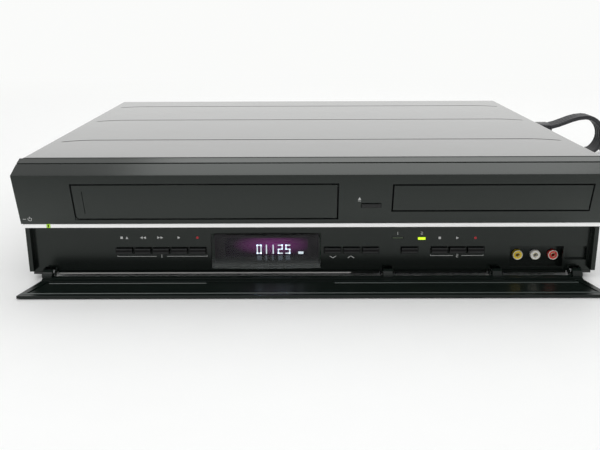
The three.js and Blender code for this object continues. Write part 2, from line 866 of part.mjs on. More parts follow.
// Bearings of the cassette flap at the top corners of its mouth
const flapPinZ = flapTopHeight - flapPinInset;
const flapPinY = faceYAt(flapPinZ) + flapPinDepth;
const flapBosses = [
  [flapMouthX[0] - flapBossSize, flapMouthX[0]],
  [flapMouthX[1], flapMouthX[1] + flapBossSize],
];
for (const side of flapBosses) {
  fasciaBody.push(block(
    side,
    [faceYAt(flapPinZ - flapBossSize / 2) + fasciaWall / 2, flapPinY + flapBossSize / 2],
    around(flapPinZ, flapBossSize),
  ));
}
const flapBores = flapMouthX.map((x, i) => rod(
  'x',
  [i === 0 ? x - flapPinLength - slideGap : x - overrun, flapPinY, flapPinZ],
  flapPinRadius + hingePinGap,
  flapPinLength + slideGap + overrun,
));
const fascia = cutAll(join(fasciaBody), [...fasciaTrims, ...flapBores]);
addSolid('front_fascia', join([fascia, ...hingeParts]), blackMoulding);

// Keys: cap, flange behind the panel and a stem to its switch
const switchFaceY = frontBoardY - switchDepth;
const flangeFrontY = panelY + fasciaWall + seatGap;
for (const [name, x] of Object.entries(lowerKeys)) {
  const width = around(x, keyWidth);
  addSolid(name, join([
    block(width, [panelY - keyProud, flangeFrontY + keyWall], keyRow),
    block(grown(width, keyFlange), [flangeFrontY, flangeFrontY + keyWall], grown(keyRow, keyFlange)),
    block(
      around(x, keyStem),
      [flangeFrontY, switchFaceY - seatGap - keyTravel],
      around(keyRowHeight, keyStem),
    ),
  ]), blackMoulding);
}
const trayKeyBackY = faceYAt(trayKeyZ[0]) + faceWall + seatGap;
addSolid('tray_key', join([
  alongX([
    [faceYAt(trayKeyZ[1]) - trayKeyProud, trayKeyZ[1]],
    [faceYAt(trayKeyZ[0]) - trayKeyProud, trayKeyZ[0]],
    [trayKeyBackY + keyWall, trayKeyZ[0]],
    [trayKeyBackY + keyWall, trayKeyZ[1]],
  ], trayKeySpan),
  block(
    grown(trayKeySpan, keyFlange),
    [trayKeyBackY, trayKeyBackY + keyWall],
    grown(trayKeyZ, keyFlange),
  ),
]), blackMoulding);

// Silver trim: the power key, its lamp and the long strip
const trimY = [trimSeatY - trimProud, trimSeatY - seatGap];
addSolid('power_key', join([
  block(powerKeyX, [trimY[0], trimY[1] - keyTravel], trimZ),
  block(powerStemX, [trimY[0], trimSeatY + fasciaWall], powerStemZ),
]), silverTrim);
const powerLampX = [powerKeyX[1] + seatGap, powerKeyX[1] + seatGap + powerLedWidth];
addSolid('power_lamp', block(powerLampX, trimY, trimZ), greenLens);
addSolid('trim_strip', block([powerLampX[1] + seatGap, halfFascia - overrun], trimY, trimZ), silverTrim);

// Display: smoked window bowed towards the front, and the tube behind it
const bowedFront = (left, right, y, bow) => {
  const points = [];
  for (let i = 0; i <= windowBowSteps; i += 1) {
    const share = (2 * i) / windowBowSteps - 1;
    points.push([middle(left, right) + (share * (right - left)) / 2, y - bow * (1 - share * share)]);
  }
  return points;
};
const glassX = grown(windowX, -seatGap);
const glassZ = grown(windowZ, -seatGap);
const glassBackY = panelY + fasciaWall;
const glassPocketX = grown(glassX, -windowWall);
const glassBody = alongZ([
  ...bowedFront(...glassX, panelY - windowProud, windowBow),
  [glassX[1], glassBackY],
  [glassX[0], glassBackY],
], glassZ);
const glassPocket = alongZ([
  ...bowedFront(...glassPocketX, panelY - windowProud + windowWall, windowBow),
  [glassPocketX[1], glassBackY + overrun],
  [glassPocketX[0], glassBackY + overrun],
], grown(glassZ, -windowWall));
addSolid('display_window', glassBody.subtract(glassPocket), smokedWindow);
const tubeBottom = windowBottomHeight + tubeHeightAboveSill;
addSolid('display_tube', block(
  around(middle(...windowX), tubeWidth),
  [frontBoardY - seatGap - tubeDepth, frontBoardY - seatGap],
  [tubeBottom, tubeBottom + tubeHeight],
), displayGlass);

// Lamps of the lower panel: light guides from the board to the panel face
const guideSpan = [panelY - seatGap, frontBoardY - seatGap];
addSolid('cassette_lamp', block(
  grown(cassetteLed[0], -seatGap),
  guideSpan,
  grown(cassetteLed[1], -seatGap),
), greenLens);
addSolid('disc_lamp', block(grown(discLed[0], -seatGap), guideSpan, grown(discLed[1], -seatGap)), greenLens);

// Front jacks: turned barrels with a collar behind the recess wall
const jackFinishes = [yellowPlastic, whitePlastic, redPlastic];
const jackLength = frontBoardY - seatGap - (recessBackY - jackProud);
const collarStart = jackProud + fasciaWall + seatGap;
jackPlaces.forEach(([name, x], i) => {
  const profile = [
    [jackBoreRadius, 0],
    [jackBarrelRadius, 0],
    [jackBarrelRadius, collarStart],
    [jackCollarRadius, collarStart],
    [jackCollarRadius, jackLength],
    [jackBoreRadius, jackLength],
    [jackBoreRadius, 0],
  ];
  const place = [x, recessBackY - jackProud, jackHeight];
  addSolid(name, turned(profile, place, smallRoundSides, 'y'), jackFinishes[i]);
});

// Front board with a switch behind each key
const switches = Object.values(lowerKeys).map((x) => block(
  around(x, switchWidth),
  [switchFaceY, frontBoardY + boardThickness],
  around(keyRowHeight, switchWidth),
));
addSolid('front_board', join([
  block(
    [frontBoardInset - halfFascia, halfFascia - frontBoardInset],
    [frontBoardY, frontBoardY + boardThickness],
    [frontBoardBottomHeight, frontBoardTopHeight],
  ),
  ...switches,
]), circuitBoard);

// Front door: a long lid, wider at its free edge, on gooseneck arms with pierced eyes
const doorTop = doorBottomHeight + doorThickness;
const doorClosedTop = trimBottomHeight - doorClosedGap;
const doorFreeEdgeY = doorPivotY - (doorClosedTop - doorPivotHeight);
const doorOutline = (inset) => [
  [-(doorFreeEdgeHalfWidth - inset), doorFreeEdgeY + inset],
  [doorFreeEdgeHalfWidth - inset, doorFreeEdgeY + inset],
  [doorHingeEdgeHalfWidth - inset, doorHingeEdgeY - inset],
  [-(doorHingeEdgeHalfWidth - inset), doorHingeEdgeY - inset],
];
const doorPlate = alongZ(doorOutline(0), [doorBottomHeight, doorTop]);
const doorRecess = alongZ(doorOutline(doorRimWidth), [doorTop - doorRimDepth, doorTop + overrun]);
const doorMiddle = middle(doorBottomHeight, doorTop);
const doorRail = block(
  [-doorHingeEdgeHalfWidth, doorHingeEdgeHalfWidth],
  [doorHingeEdgeY - doorRailDepth, doorHingeEdgeY],
  [doorMiddle, doorRailTop],
);
const hump = [];
for (let i = 0; i <= hingeArmSteps; i += 1) {
  const angle = (Math.PI / 2) * (1 + i / hingeArmSteps);
  hump.push([
    doorPivotY + hingeArmHump * Math.cos(angle),
    doorPivotHeight + hingeArmHump * Math.sin(angle),
  ]);
}
const armOutline = [
  ...hump,
  [doorPivotY - hingeArmReach, doorTop],
  [doorPivotY - hingeArmReach, doorMiddle],
  [doorHingeEdgeY, doorMiddle],
  [doorPivotY, doorPivotHeight - hingeEyeRadius],
];
const doorParts = [doorPlate.subtract(doorRecess), doorRail];
const doorBores = [];
for (const x of hingeArmPlaces) {
  const span = around(x, hingeArmWidth);
  doorParts.push(alongX(armOutline, span));
  doorParts.push(rod('x', [span[0], doorPivotY, doorPivotHeight], hingeEyeRadius, hingeArmWidth));
  doorBores.push(rod(
    'x',
    [span[0] - overrun, doorPivotY, doorPivotHeight],
    hingePinRadius + hingePinGap,
    hingeArmWidth + 2 * overrun,
  ));
}
addSolid('front_door', cutAll(join(doorParts), doorBores), glossMoulding);

// Cassette flap: a leaning plate hung on two pins at its top corners
const flapX = grown(flapMouthX, -bezelGap);
const flapZ = grown(flapMouthZ, -bezelGap);
const flapSlab = alongX([
  [faceYAt(flapZ[1]), flapZ[1]],
  [faceYAt(flapZ[0]), flapZ[0]],
  [faceYAt(flapZ[0]) + flapThickness, flapZ[0]],
  [faceYAt(flapZ[1]) + flapThickness, flapZ[1]],
], flapX);
const flapPlate = flapSlab.intersect(alongY(flapOutline(bezelGap), faceSpan));
const flapHangers = [
  rod('x', [flapX[0], flapPinY, flapPinZ], flapKnuckleRadius, flapKnuckleLength),
  rod('x', [flapX[1] - flapKnuckleLength, flapPinY, flapPinZ], flapKnuckleRadius, flapKnuckleLength),
  rod('x', [flapX[0] - bezelGap - flapPinLength, flapPinY, flapPinZ], flapPinRadius, flapKnuckleLength),
  rod(
    'x',
    [flapX[1] + bezelGap + flapPinLength - flapKnuckleLength, flapPinY, flapPinZ],
    flapPinRadius,
    flapKnuckleLength,
  ),
];
addSolid('cassette_flap', join([flapPlate, ...flapHangers]), blackMoulding);

// Cassette deck chassis: folded sheet with guided side walls and bearing posts
const deckX = middle(...flapMouthX);
const holderInner = around(deckX, cassetteWidth + 2 * holderClearance);
const holderOuter = grown(holderInner, holderWall);
const deckInner = grown(holderOuter, deckSideGap);
const deckOuter = grown(deckInner, deckWall);
const deckBackY = deckFrontY + deckDepth;
const deckFloorTop = deckFloorHeight + deckWall;
const holderFloor = flapBottomHeight + seatGap;
const holderCeiling = holderFloor + cassetteThickness + holderClearance;
const holderBackY = holderFrontY + holderDepth;
const guideHeight = middle(holderFloor, holderCeiling);
const guidePinY = [guidePinFrontShare, guidePinRearShare].map((share) => holderFrontY + share * holderDepth);
const reelY = holderFrontY + holderTravel + reelSetback;
const reelX = around(deckX, reelSpacing);
const drumY = holderBackY + holderTravel + drumClearance + drumRadius;
const capstanX = deckX + capstanShare * cassetteWidth;
const capstanY = drumY - capstanForward;
const rollerX = capstanX + capstanRadius + rollerGap + rollerRadius;
const armPivotX = rollerX + pinchArmReach;
const seatZ = deckFloorTop + seatGap;
const deckParts = [
  block(deckOuter, [deckFrontY, deckBackY], [deckFloorHeight, deckFloorTop]),
  block([deckOuter[0], deckInner[0]], [deckFrontY, deckBackY], [deckFloorHeight, deckSideTopHeight]),
  block([deckInner[1], deckOuter[1]], [deckFrontY, deckBackY], [deckFloorHeight, deckSideTopHeight]),
];
const legX = [deckOuter[0] + deckLegInset, deckOuter[1] - deckLegInset];
const legY = [deckFrontY + deckLegInset, deckBackY - deckLegInset];
for (const x of legX) {
  for (const y of legY) {
    deckParts.push(block(
      around(x, deckLegSize),
      around(y, deckLegSize),
      [panTop + seatGap, middle(deckFloorHeight, deckFloorTop)],
    ));
  }
}
const postFoot = middle(deckFloorHeight, deckFloorTop);
const reelPostTop = seatZ + reelTableHeight + reelHubHeight;
for (const x of reelX) {
  deckParts.push(rod('z', [x, reelY, postFoot], reelPostRadius, reelPostTop - postFoot));
}
const armTop = seatZ + pinchArmLift + pinchArmThickness;
deckParts.push(rod(
  'z',
  [armPivotX, capstanY, postFoot],
  rollerPostRadius + bearingGap + sheetThickness,
  seatZ + pinchArmLift - seatGap - postFoot,
));
deckParts.push(rod('z', [armPivotX, capstanY, postFoot], rollerPostRadius, armTop - postFoot));
const deckCuts = [
  rod('z', [capstanX, capstanY, deckFloorHeight - overrun], capstanRadius + bearingGap, deckWall + 2 * overrun),
];
for (const y of guidePinY) {
  const span = grown([y, y + holderTravel], guidePinRadius + bearingGap);
  const drop = [span[1] - 2 * (guidePinRadius + bearingGap), span[1]];
  const across = grown(deckOuter, overrun);
  deckCuts.push(block(across, span, around(guideHeight, guideSlotHeight)));
  deckCuts.push(block(across, drop, [guideHeight - guideSlotRise, guideHeight]));
}
addSolid('deck_chassis', cutAll(join(deckParts), deckCuts), galvanised);

// Cassette holder: open cage with a windowed floor, two straps and four guide pins
const holderFloorWindow = block(
  grown(holderInner, -holderStrapDepth),
  grown([holderFrontY, holderBackY], -holderStrapDepth),
  [holderFloor - holderWall - overrun, holderFloor + overrun],
);
const holderParts = [
  block(holderOuter, [holderFrontY, holderBackY], [holderFloor - holderWall, holderFloor])
    .subtract(holderFloorWindow),
];
const holderSideZ = [holderFloor - holderWall, holderCeiling + holderWall];
holderParts.push(block([holderOuter[0], holderInner[0]], [holderFrontY, holderBackY], holderSideZ));
holderParts.push(block([holderInner[1], holderOuter[1]], [holderFrontY, holderBackY], holderSideZ));
const strapZ = [holderCeiling, holderCeiling + holderWall];
holderParts.push(block(holderOuter, [holderFrontY, holderFrontY + holderStrapDepth], strapZ));
holderParts.push(block(holderOuter, [holderBackY - holderStrapDepth, holderBackY], strapZ));
const pinReach = deckSideGap + deckWall + holderWall / 2;
for (const y of guidePinY) {
  holderParts.push(rod(
    'x',
    [holderOuter[0] + holderWall / 2 - pinReach, y, guideHeight],
    guidePinRadius,
    pinReach,
  ));
  holderParts.push(rod('x', [holderOuter[1] - holderWall / 2, y, guideHeight], guidePinRadius, pinReach));
}
addSolid('cassette_holder', join(holderParts), galvanised);

// Head drum: fixed lower drum with a post, and the spinning upper drum on it
const drumPlace = [deckX, drumY, seatZ];
addSolid('drum_base', turned([
  [0, 0],
  [drumRadius, 0],
  [drumRadius, drumBaseHeight],
  [drumShaftRadius, drumBaseHeight],
  [drumShaftRadius, drumBaseHeight + drumPostHeight],
  [0, drumBaseHeight + drumPostHeight],
], drumPlace), machinedMetal);
const drumFoot = drumBaseHeight + drumGap;
addSolid('head_drum', turned([
  [drumShaftRadius + bearingGap, drumFoot],
  [drumRadius, drumFoot],
  [drumRadius, drumFoot + drumTopHeight],
  [drumShaftRadius + bearingGap, drumFoot + drumTopHeight],
  [drumShaftRadius + bearingGap, drumFoot],
], drumPlace), machinedMetal);

// Reel tables: a wide disc and a splined hub that turn on the chassis posts
const splineOutline = ([x, y]) => {
  const points = [];
  const half = reelSplineWidth / 2;
  for (let i = 0; i < reelSplineCount; i += 1) {
    const angle = (i / reelSplineCount) * 2 * Math.PI;
    const [c, s] = [Math.cos(angle), Math.sin(angle)];
    for (const [radius, side] of [[reelHubRadius, -half], [reelSplineRadius, -half]]) {
      points.push([x + radius * c - side * s, y + radius * s + side * c]);
    }
    for (const [radius, side] of [[reelSplineRadius, half], [reelHubRadius, half]]) {
      points.push([x + radius * c - side * s, y + radius * s + side * c]);
    }
  }
  return points;
};
['supply_reel', 'take_up_reel'].forEach((name, i) => {
  const place = [reelX[i], reelY];
  const table = rod('z', [...place, seatZ], reelTableRadius, reelTableHeight, roundSides);
  const hub = alongZ(splineOutline(place), [seatZ, seatZ + reelTableHeight + reelHubHeight]);
  const bore = rod(
    'z',
    [...place, seatZ - overrun],
    reelPostRadius + bearingGap,
    reelTableHeight + reelHubHeight + 2 * overrun,
  );
  addSolid(name, join([table, hub]).subtract(bore), naturalPlastic);
});

// Capstan with its flywheel under the chassis, pinch arm and pinch roller
addSolid('capstan', turned([
  [0, 0],
  [flywheelRadius, 0],
  [flywheelRadius, flywheelHeight],
  [capstanRadius, flywheelHeight],
  [capstanRadius, flywheelHeight + capstanHeight],
  [0, flywheelHeight + capstanHeight],
], [capstanX, capstanY, deckFloorHeight - seatGap - flywheelHeight], smallRoundSides), machinedMetal);
const armZ = [seatZ + pinchArmLift, armTop];
const armPlate = join([
  block([rollerX, armPivotX], around(capstanY, pinchArmWidth), armZ),
  rod('z', [rollerX, capstanY, armZ[0]], pinchArmWidth / 2, pinchArmThickness),
  rod('z', [armPivotX, capstanY, armZ[0]], pinchArmWidth / 2, pinchArmThickness),
  rod('z', [rollerX, capstanY, armZ[0]], rollerPostRadius, pinchArmThickness + rollerHeight),
]);
const armBore = rod(
  'z',
  [armPivotX, capstanY, armZ[0] - overrun],
  rollerPostRadius + bearingGap,
  pinchArmThickness + 2 * overrun,
);
addSolid('pinch_arm', armPlate.subtract(armBore), galvanised);
addSolid('pinch_roller', turned([
  [rollerPostRadius + bearingGap, 0],
  [rollerRadius, 0],
  [rollerRadius, rollerHeight],
  [rollerPostRadius + bearingGap, rollerHeight],
  [rollerPostRadius + bearingGap, 0],
], [rollerX, capstanY, armTop + seatGap], smallRoundSides), rubber);

// Disc drive frame: moulded tub with side ledges for the tray, the bridge over the disc,
// the post of the tray gear and the ears of the traverse
const driveX = middle(...trayMouthX);
const halfTray = (trayOpeningWidth - 2 * trayMargin) / 2;
const driveInner = around(driveX, 2 * (halfTray + driveSideMargin));
const driveOuter = grown(driveInner, driveWall);
const driveY = [driveFrontY, driveFrontY + driveDepth];
const driveFloorZ = [driveBottomHeight, driveBottomHeight + driveWall];
const trayY = [trayFrontY, trayFrontY + trayLength];
const trayZ = [trayHeight, trayHeight + trayThickness];
const spindlePlace = [driveX, trayFrontY + wellSetback];
const wellFloor = trayZ[1] - wellDepth;
const rackX = [driveX - halfTray + rackInset, driveX - halfTray + rackInset + rackBody];
const rackPitchX = rackX[1] + dedendumShare * rackModule;
const gearPitchRadius = gearTeeth * rackModule / 2;
const gearX = rackPitchX + gearPitchRadius;
const rackZ = [trayHeight - rackHeight, trayHeight + overrun];
const gearZ = [trayHeight - gearTopGap - gearHeight, trayHeight - gearTopGap];
const traverseX = around(driveX, traverseWidth);
const traverseY = [spindlePlace[1] - traverseForward, spindlePlace[1] - traverseForward + traverseLength];
const traverseZ = [traverseHeight, traverseHeight + traverseThickness];
const traversePinY = traverseY[1] - traversePinInset;
const traversePinZ = middle(...traverseZ);
const ledgeZ = [trayHeight - seatGap - driveLedgeThickness, trayHeight - seatGap];
const driveParts = [
  block(driveOuter, driveY, driveFloorZ),
  block([driveOuter[0], driveInner[0]], driveY, [driveBottomHeight, driveSideTopHeight]),
  block([driveInner[1], driveOuter[1]], driveY, [driveBottomHeight, driveSideTopHeight]),
  block(driveOuter, [driveY[1] - driveWall, driveY[1]], [driveBottomHeight, driveSideTopHeight]),
  block([driveOuter[0], driveInner[0] + driveLedgeReach], driveY, ledgeZ),
  block([driveInner[1] - driveLedgeReach, driveOuter[1]], driveY, ledgeZ),
  block(driveOuter, around(spindlePlace[1], bridgeDepth), [bridgeHeight, bridgeHeight + bridgeThickness]),
  rod('z', [gearX, gearY, driveBottomHeight], gearPostRadius, gearZ[0] - seatGap - driveBottomHeight),
  rod('z', [gearX, gearY, driveBottomHeight], gearPinRadius, gearZ[1] - driveBottomHeight),
];
const driveLegX = [driveOuter[0] + driveLegSize, driveOuter[1] - driveLegSize];
const driveLegY = [driveY[0] + driveLegSize, driveY[1] - driveLegSize];
for (const x of driveLegX) {
  for (const y of driveLegY) {
    driveParts.push(block(
      around(x, driveLegSize),
      around(y, driveLegSize),
      [panTop + seatGap, middle(...driveFloorZ)],
    ));
  }
}
for (const [edge, side] of [[traverseX[0] - slideGap, -1], [traverseX[1] + slideGap, 1]]) {
  const ends = [edge, edge + side * traverseEarThickness].sort((a, b) => a - b);
  const ear = block(
    ends,
    around(traversePinY, traverseEarDepth),
    [middle(...driveFloorZ), traversePinZ + traverseEarDepth / 2],
  );
  driveParts.push(ear);
}
const earReach = 2 * (slideGap + traverseEarThickness + overrun);
const driveCuts = [
  rod(
    'z',
    [...spindlePlace, bridgeHeight - overrun],
    clampNeckRadius + clampClearance,
    bridgeThickness + 2 * overrun,
    roundSides,
  ),
  rod(
    'x',
    [traverseX[0] - earReach / 2, traversePinY, traversePinZ],
    traversePinRadius + bearingGap,
    traverseWidth + earReach,
  ),
];
addSolid('drive_frame', cutAll(join(driveParts), driveCuts), blackMoulding);

// Disc tray: slab with a round well, a slot for the turntable and the pickup, and a rack
// with straight flanks under its left side
const rackPitch = Math.PI * rackModule;
const flankSlope = Math.tan(pressureAngleShare * Math.PI);
const addendum = rackModule;
const dedendum = dedendumShare * rackModule;
const rackTooth = (y) => {
  const half = rackPitch / 4 - gearBacklash / 4;
  const root = half + dedendum * flankSlope;
  const tip = half - addendum * flankSlope;
  const [rootX, tipX] = [rackPitchX - dedendum, rackPitchX + addendum];
  return [[rootX, y - root], [tipX, y - tip], [tipX, y + tip], [rootX, y + root]];
};
const rackStartY = gearY - (rackLead + 1) * rackPitch;
const rackEndY = gearY + (rackTeeth - rackLead) * rackPitch;
const rackOutline = [[rackX[0], rackStartY], [rackX[1], rackStartY]];
for (let i = 0; i < rackTeeth; i += 1) {
  rackOutline.push(...rackTooth(gearY + (i - rackLead) * rackPitch));
}
rackOutline.push([rackX[1], rackEndY], [rackX[0], rackEndY]);
const slotHalf = traySlotWidth / 2;
const traySlot = join([
  rod('z', [...spindlePlace, trayZ[0] - overrun], slotHalf, trayThickness + 2 * overrun, roundSides),
  block([driveX - slotHalf, driveX + slotHalf], [spindlePlace[1], trayY[1] + overrun], grown(trayZ, overrun)),
]);
const trayBody = join([
  block([driveX - halfTray, driveX + halfTray], trayY, trayZ),
  alongZ(rackOutline, rackZ),
]);
addSolid('disc_tray', cutAll(trayBody, [
  rod('z', [...spindlePlace, wellFloor], discRadius + wellClearance, wellDepth + overrun, wellSides),
  traySlot,
]), blackMoulding);

// Tray front: a leaning panel in the mouth of the face
const bezelX = grown(trayMouthX, -bezelGap);
const bezelZ = grown(trayMouthZ, -bezelGap);
addSolid('tray_bezel', alongX([
  [faceYAt(bezelZ[0]), bezelZ[0]],
  [faceYAt(bezelZ[0]) + bezelThickness, bezelZ[0]],
  [trayFrontY - seatGap, trayZ[0]],
  [trayFrontY - seatGap, trayZ[1]],
  [faceYAt(bezelZ[1]) + bezelThickness, bezelZ[1]],
  [faceYAt(bezelZ[1]), bezelZ[1]],
], bezelX), blackMoulding);

// Tray gear: involute teeth in mesh with the rack
const pressureAngle = pressureAngleShare * Math.PI;
const baseRadius = gearPitchRadius * Math.cos(pressureAngle);
const involute = (angle) => Math.tan(angle) - angle;
const toothHalfAngle = (radius) => {
  const reference = Math.PI / (2 * gearTeeth) - gearBacklash / (4 * gearPitchRadius);
  return reference + involute(pressureAngle) - involute(Math.acos(Math.min(1, baseRadius / radius)));
};
const gearOutline = [];
const gearTip = gearPitchRadius + addendum;
const gearRoot = gearPitchRadius - dedendum;
for (let i = 0; i < gearTeeth; i += 1) {
  const heading = Math.PI + (i + gearPhaseShare) * (2 * Math.PI / gearTeeth);
  const flank = [[gearRoot, toothHalfAngle(baseRadius)]];
  for (let j = 0; j < gearFlankSteps; j += 1) {
    const radius = baseRadius + (gearTip - baseRadius) * (j / (gearFlankSteps - 1));
    flank.push([radius, toothHalfAngle(radius)]);
  }
  const polar = [
    ...flank.map(([radius, angle]) => [radius, heading - angle]),
    ...flank.reverse().map(([radius, angle]) => [radius, heading + angle]),
  ];
  gearOutline.push(...polar.map(([r, a]) => [gearX + r * Math.cos(a), gearY + r * Math.sin(a)]));
}
addSolid('tray_gear', alongZ(gearOutline, gearZ).subtract(
  rod('z', [gearX, gearY, gearZ[0] - overrun], gearPinRadius + bearingGap, gearHeight + 2 * overrun),
), whitePlastic);

// Disc clamp: a puck that hangs through the bridge and turns with the disc
const clampBottom = trayZ[1] + clampLift;
addSolid('disc_clamp', turned([
  [0, clampBottom],
  [clampNeckRadius, clampBottom],
  [clampNeckRadius, bridgeHeight + bridgeThickness + seatGap],
  [clampRadius, bridgeHeight + bridgeThickness + seatGap],
  [clampRadius, bridgeHeight + bridgeThickness + seatGap + clampThickness],
  [0, bridgeHeight + bridgeThickness + seatGap + clampThickness],
], [...spindlePlace, 0], roundSides), whitePlastic);

// Traverse: plate on two rear pins with the spindle motor and the rails of the pickup
const railX = around(driveX, railSpread);
const railZ = traverseZ[1] + railLift;
const railY = [traverseY[0] + railFront, traverseY[1] - railBlock];
const traverseParts = [block(traverseX, traverseY, traverseZ)];
for (const x of railX) {
  traverseParts.push(rod('y', [x, railY[0], railZ], railRadius, railY[1] - railY[0]));
  for (const end of railY) {
    traverseParts.push(block(
      around(x, 2 * railRadius + railBlock),
      around(end, 2 * railBlock),
      [middle(...traverseZ), railZ + railRadius + railBlock / 2],
    ));
  }
}
traverseParts.push(rod(
  'x',
  [traverseX[0] - slideGap - traverseEarThickness, traversePinY, traversePinZ],
  traversePinRadius,
  traverseWidth + 2 * (slideGap + traverseEarThickness),
));
const motorZ = traverseZ[0];
const motorTop = traverseZ[1] + motorHeight;
traverseParts.push(rod('z', [...spindlePlace, motorZ], motorRadius, motorTop - motorZ, roundSides));
addSolid('traverse', join(traverseParts).subtract(rod(
  'z',
  [...spindlePlace, motorZ - overrun],
  spindleRadius + bearingGap,
  motorTop - motorZ + 2 * overrun,
)), galvanised);

// Turntable and pickup sled
const turntableZ = wellFloor - turntableThickness + turntableProud;
const turntableTop = turntableZ + turntableThickness;
addSolid('disc_turntable', turned([
  [0, motorZ],
  [spindleRadius, motorZ],
  [spindleRadius, turntableZ],
  [turntableRadius, turntableZ],
  [turntableRadius, turntableTop],
  [turntableConeRadius, turntableTop],
  [turntableConeRadius - turntableConeHeight, turntableTop + turntableConeHeight],
  [0, turntableTop + turntableConeHeight],
], [...spindlePlace, 0], roundSides), blackMoulding);
const sledY = [spindlePlace[1] + sledSetback, spindlePlace[1] + sledSetback + sledLength];
const sledZ = [traverseZ[1] + sledGap, traverseZ[1] + sledGap + sledHeight];
const sledFoot = grown(railX, railRadius + sledFootMargin);
const sledParts = [
  block(around(driveX, sledWidth), sledY, sledZ),
  block(sledFoot, sledY, [sledZ[0], railZ + railRadius + sledFootMargin / 2]),
  rod('z', [driveX, middle(...sledY), middle(...sledZ)], lensRadius, sledHeight / 2 + lensHeight),
];
const railBores = railX.map((x) => rod(
  'y',
  [x, sledY[0] - overrun, railZ],
  railRadius + bearingGap,
  sledLength + 2 * overrun,
));
addSolid('pickup_sled', cutAll(join(sledParts), railBores), blackMoulding);

// Boards at the back, standing on posts
const boardY = [rearPanelY - boardRearGap - mainBoardDepth, rearPanelY - boardRearGap];
const boardZ = [boardHeight, boardHeight + boardThickness];
const onBoard = boardZ[1] + seatGap;
const postedBoard = (x, y) => {
  const parts = [block(x, y, boardZ)];
  for (const px of grown(x, -boardPostSize)) {
    for (const py of grown(y, -boardPostSize)) {
      parts.push(block(
        around(px, boardPostSize),
        around(py, boardPostSize),
        [panTop + seatGap, middle(...boardZ)],
      ));
    }
  }
  return join(parts);
};
const powerBoardX = [coverInner - mainBoardSideInset - powerBoardWidth, coverInner - mainBoardSideInset];
const powerBoardY = [boardY[1] - powerBoardDepth, boardY[1]];
const mainBoardX = [-(coverInner - mainBoardSideInset), powerBoardX[0] - boardRearGap];
addSolid('main_board', postedBoard(mainBoardX, boardY), circuitBoard);
const transformerX = middle(...powerBoardX);
const transformerY = powerBoardY[0] + transformerSize;
addSolid('mains_transformer', join([
  block(
    around(transformerX, transformerSize),
    around(transformerY, transformerSize * coreShare),
    [onBoard, onBoard + transformerHeight],
  ),
  block(
    around(transformerX, transformerSize * coilShare),
    around(transformerY, transformerSize),
    around(onBoard + transformerHeight / 2, transformerHeight * coilShare),
  ),
]), yellowPlastic);
const capacitorX = powerBoardX[0] + capacitorRadius + boardPostSize;
const capacitorY = powerBoardY[1] - capacitorRadius - boardPostSize;
const boardMiddleZ = middle(...boardZ);
const capacitorTop = boardZ[1] + capacitorHeight;
const heatSinkTop = boardZ[1] + heatSinkHeight;
const heatSinkY = transformerY + transformerSize / 2 + boardPostSize / 2;
const heatSinkX = around(transformerX, heatSinkWidth);
const powerParts = [
  postedBoard(powerBoardX, powerBoardY),
  rod('z', [capacitorX, capacitorY, boardMiddleZ], capacitorRadius, capacitorTop - boardMiddleZ, roundSides),
  block(heatSinkX, [heatSinkY, heatSinkY + heatSinkPlate], [boardMiddleZ, heatSinkTop]),
];
for (let i = 0; i < finCount; i += 1) {
  const x = heatSinkX[0] + (heatSinkWidth - finThickness) * (i / (finCount - 1));
  powerParts.push(block(
    [x, x + finThickness],
    [heatSinkY, heatSinkY + heatSinkPlate + finDepth],
    [boardMiddleZ, heatSinkTop],
  ));
}
addSolid('power_board', join(powerParts), circuitBoard);

// Rear jacks and tuner: barrels that reach out through the rear panel
const rearOuterY = rearPanelY + sheetThickness;
const jackBlockX = around(rearJackBlockX, rearJackColumns * rearJackPitch);
const jackBlockY = [rearPanelY - seatGap - rearJackBlockDepth, rearPanelY - seatGap];
const rearJackPlaces = [];
for (let column = 0; column < rearJackColumns; column += 1) {
  for (let row = 0; row < rearJackRows; row += 1) {
    rearJackPlaces.push([
      jackBlockX[0] + (column + 1 / 2) * rearJackPitch,
      onBoard + (row + 1 / 2) * (rearJackBlockHeight / rearJackRows),
    ]);
  }
}
const rearBarrelLength = rearOuterY + rearJackProud - jackBlockY[0];
const rearBarrels = rearJackPlaces.map(([x, z]) => rod(
  'y',
  [x, middle(...jackBlockY), z],
  jackBarrelRadius,
  rearOuterY + rearJackProud - middle(...jackBlockY),
  rearJackSides,
));
const rearBores = rearJackPlaces.map(([x, z]) => rod(
  'y',
  [x, rearOuterY, z],
  jackBoreRadius,
  rearBarrelLength,
  rearJackSides,
));
const jackBody = block(jackBlockX, jackBlockY, [onBoard, onBoard + rearJackBlockHeight]);
addSolid('rear_jack_block', cutAll(join([jackBody, ...rearBarrels]), rearBores), blackMoulding);
const tunerY = [rearPanelY - seatGap - tunerDepth, rearPanelY - seatGap];
const tunerSocketZ = around(onBoard + tunerHeight / 2, tunerSocketSpacing);
const tunerParts = [block(around(tunerX, tunerWidth), tunerY, [onBoard, onBoard + tunerHeight])];
for (const z of tunerSocketZ) {
  tunerParts.push(rod(
    'y',
    [tunerX, middle(...tunerY), z],
    tunerSocketRadius,
    rearOuterY + tunerSocketProud - middle(...tunerY),
  ));
}
const tunerBores = tunerSocketZ.map((z) => rod(
  'y',
  [tunerX, rearOuterY, z],
  tunerSocketBore,
  tunerSocketProud + overrun,
));
addSolid('tuner_block', cutAll(join(tunerParts), tunerBores), machinedMetal);

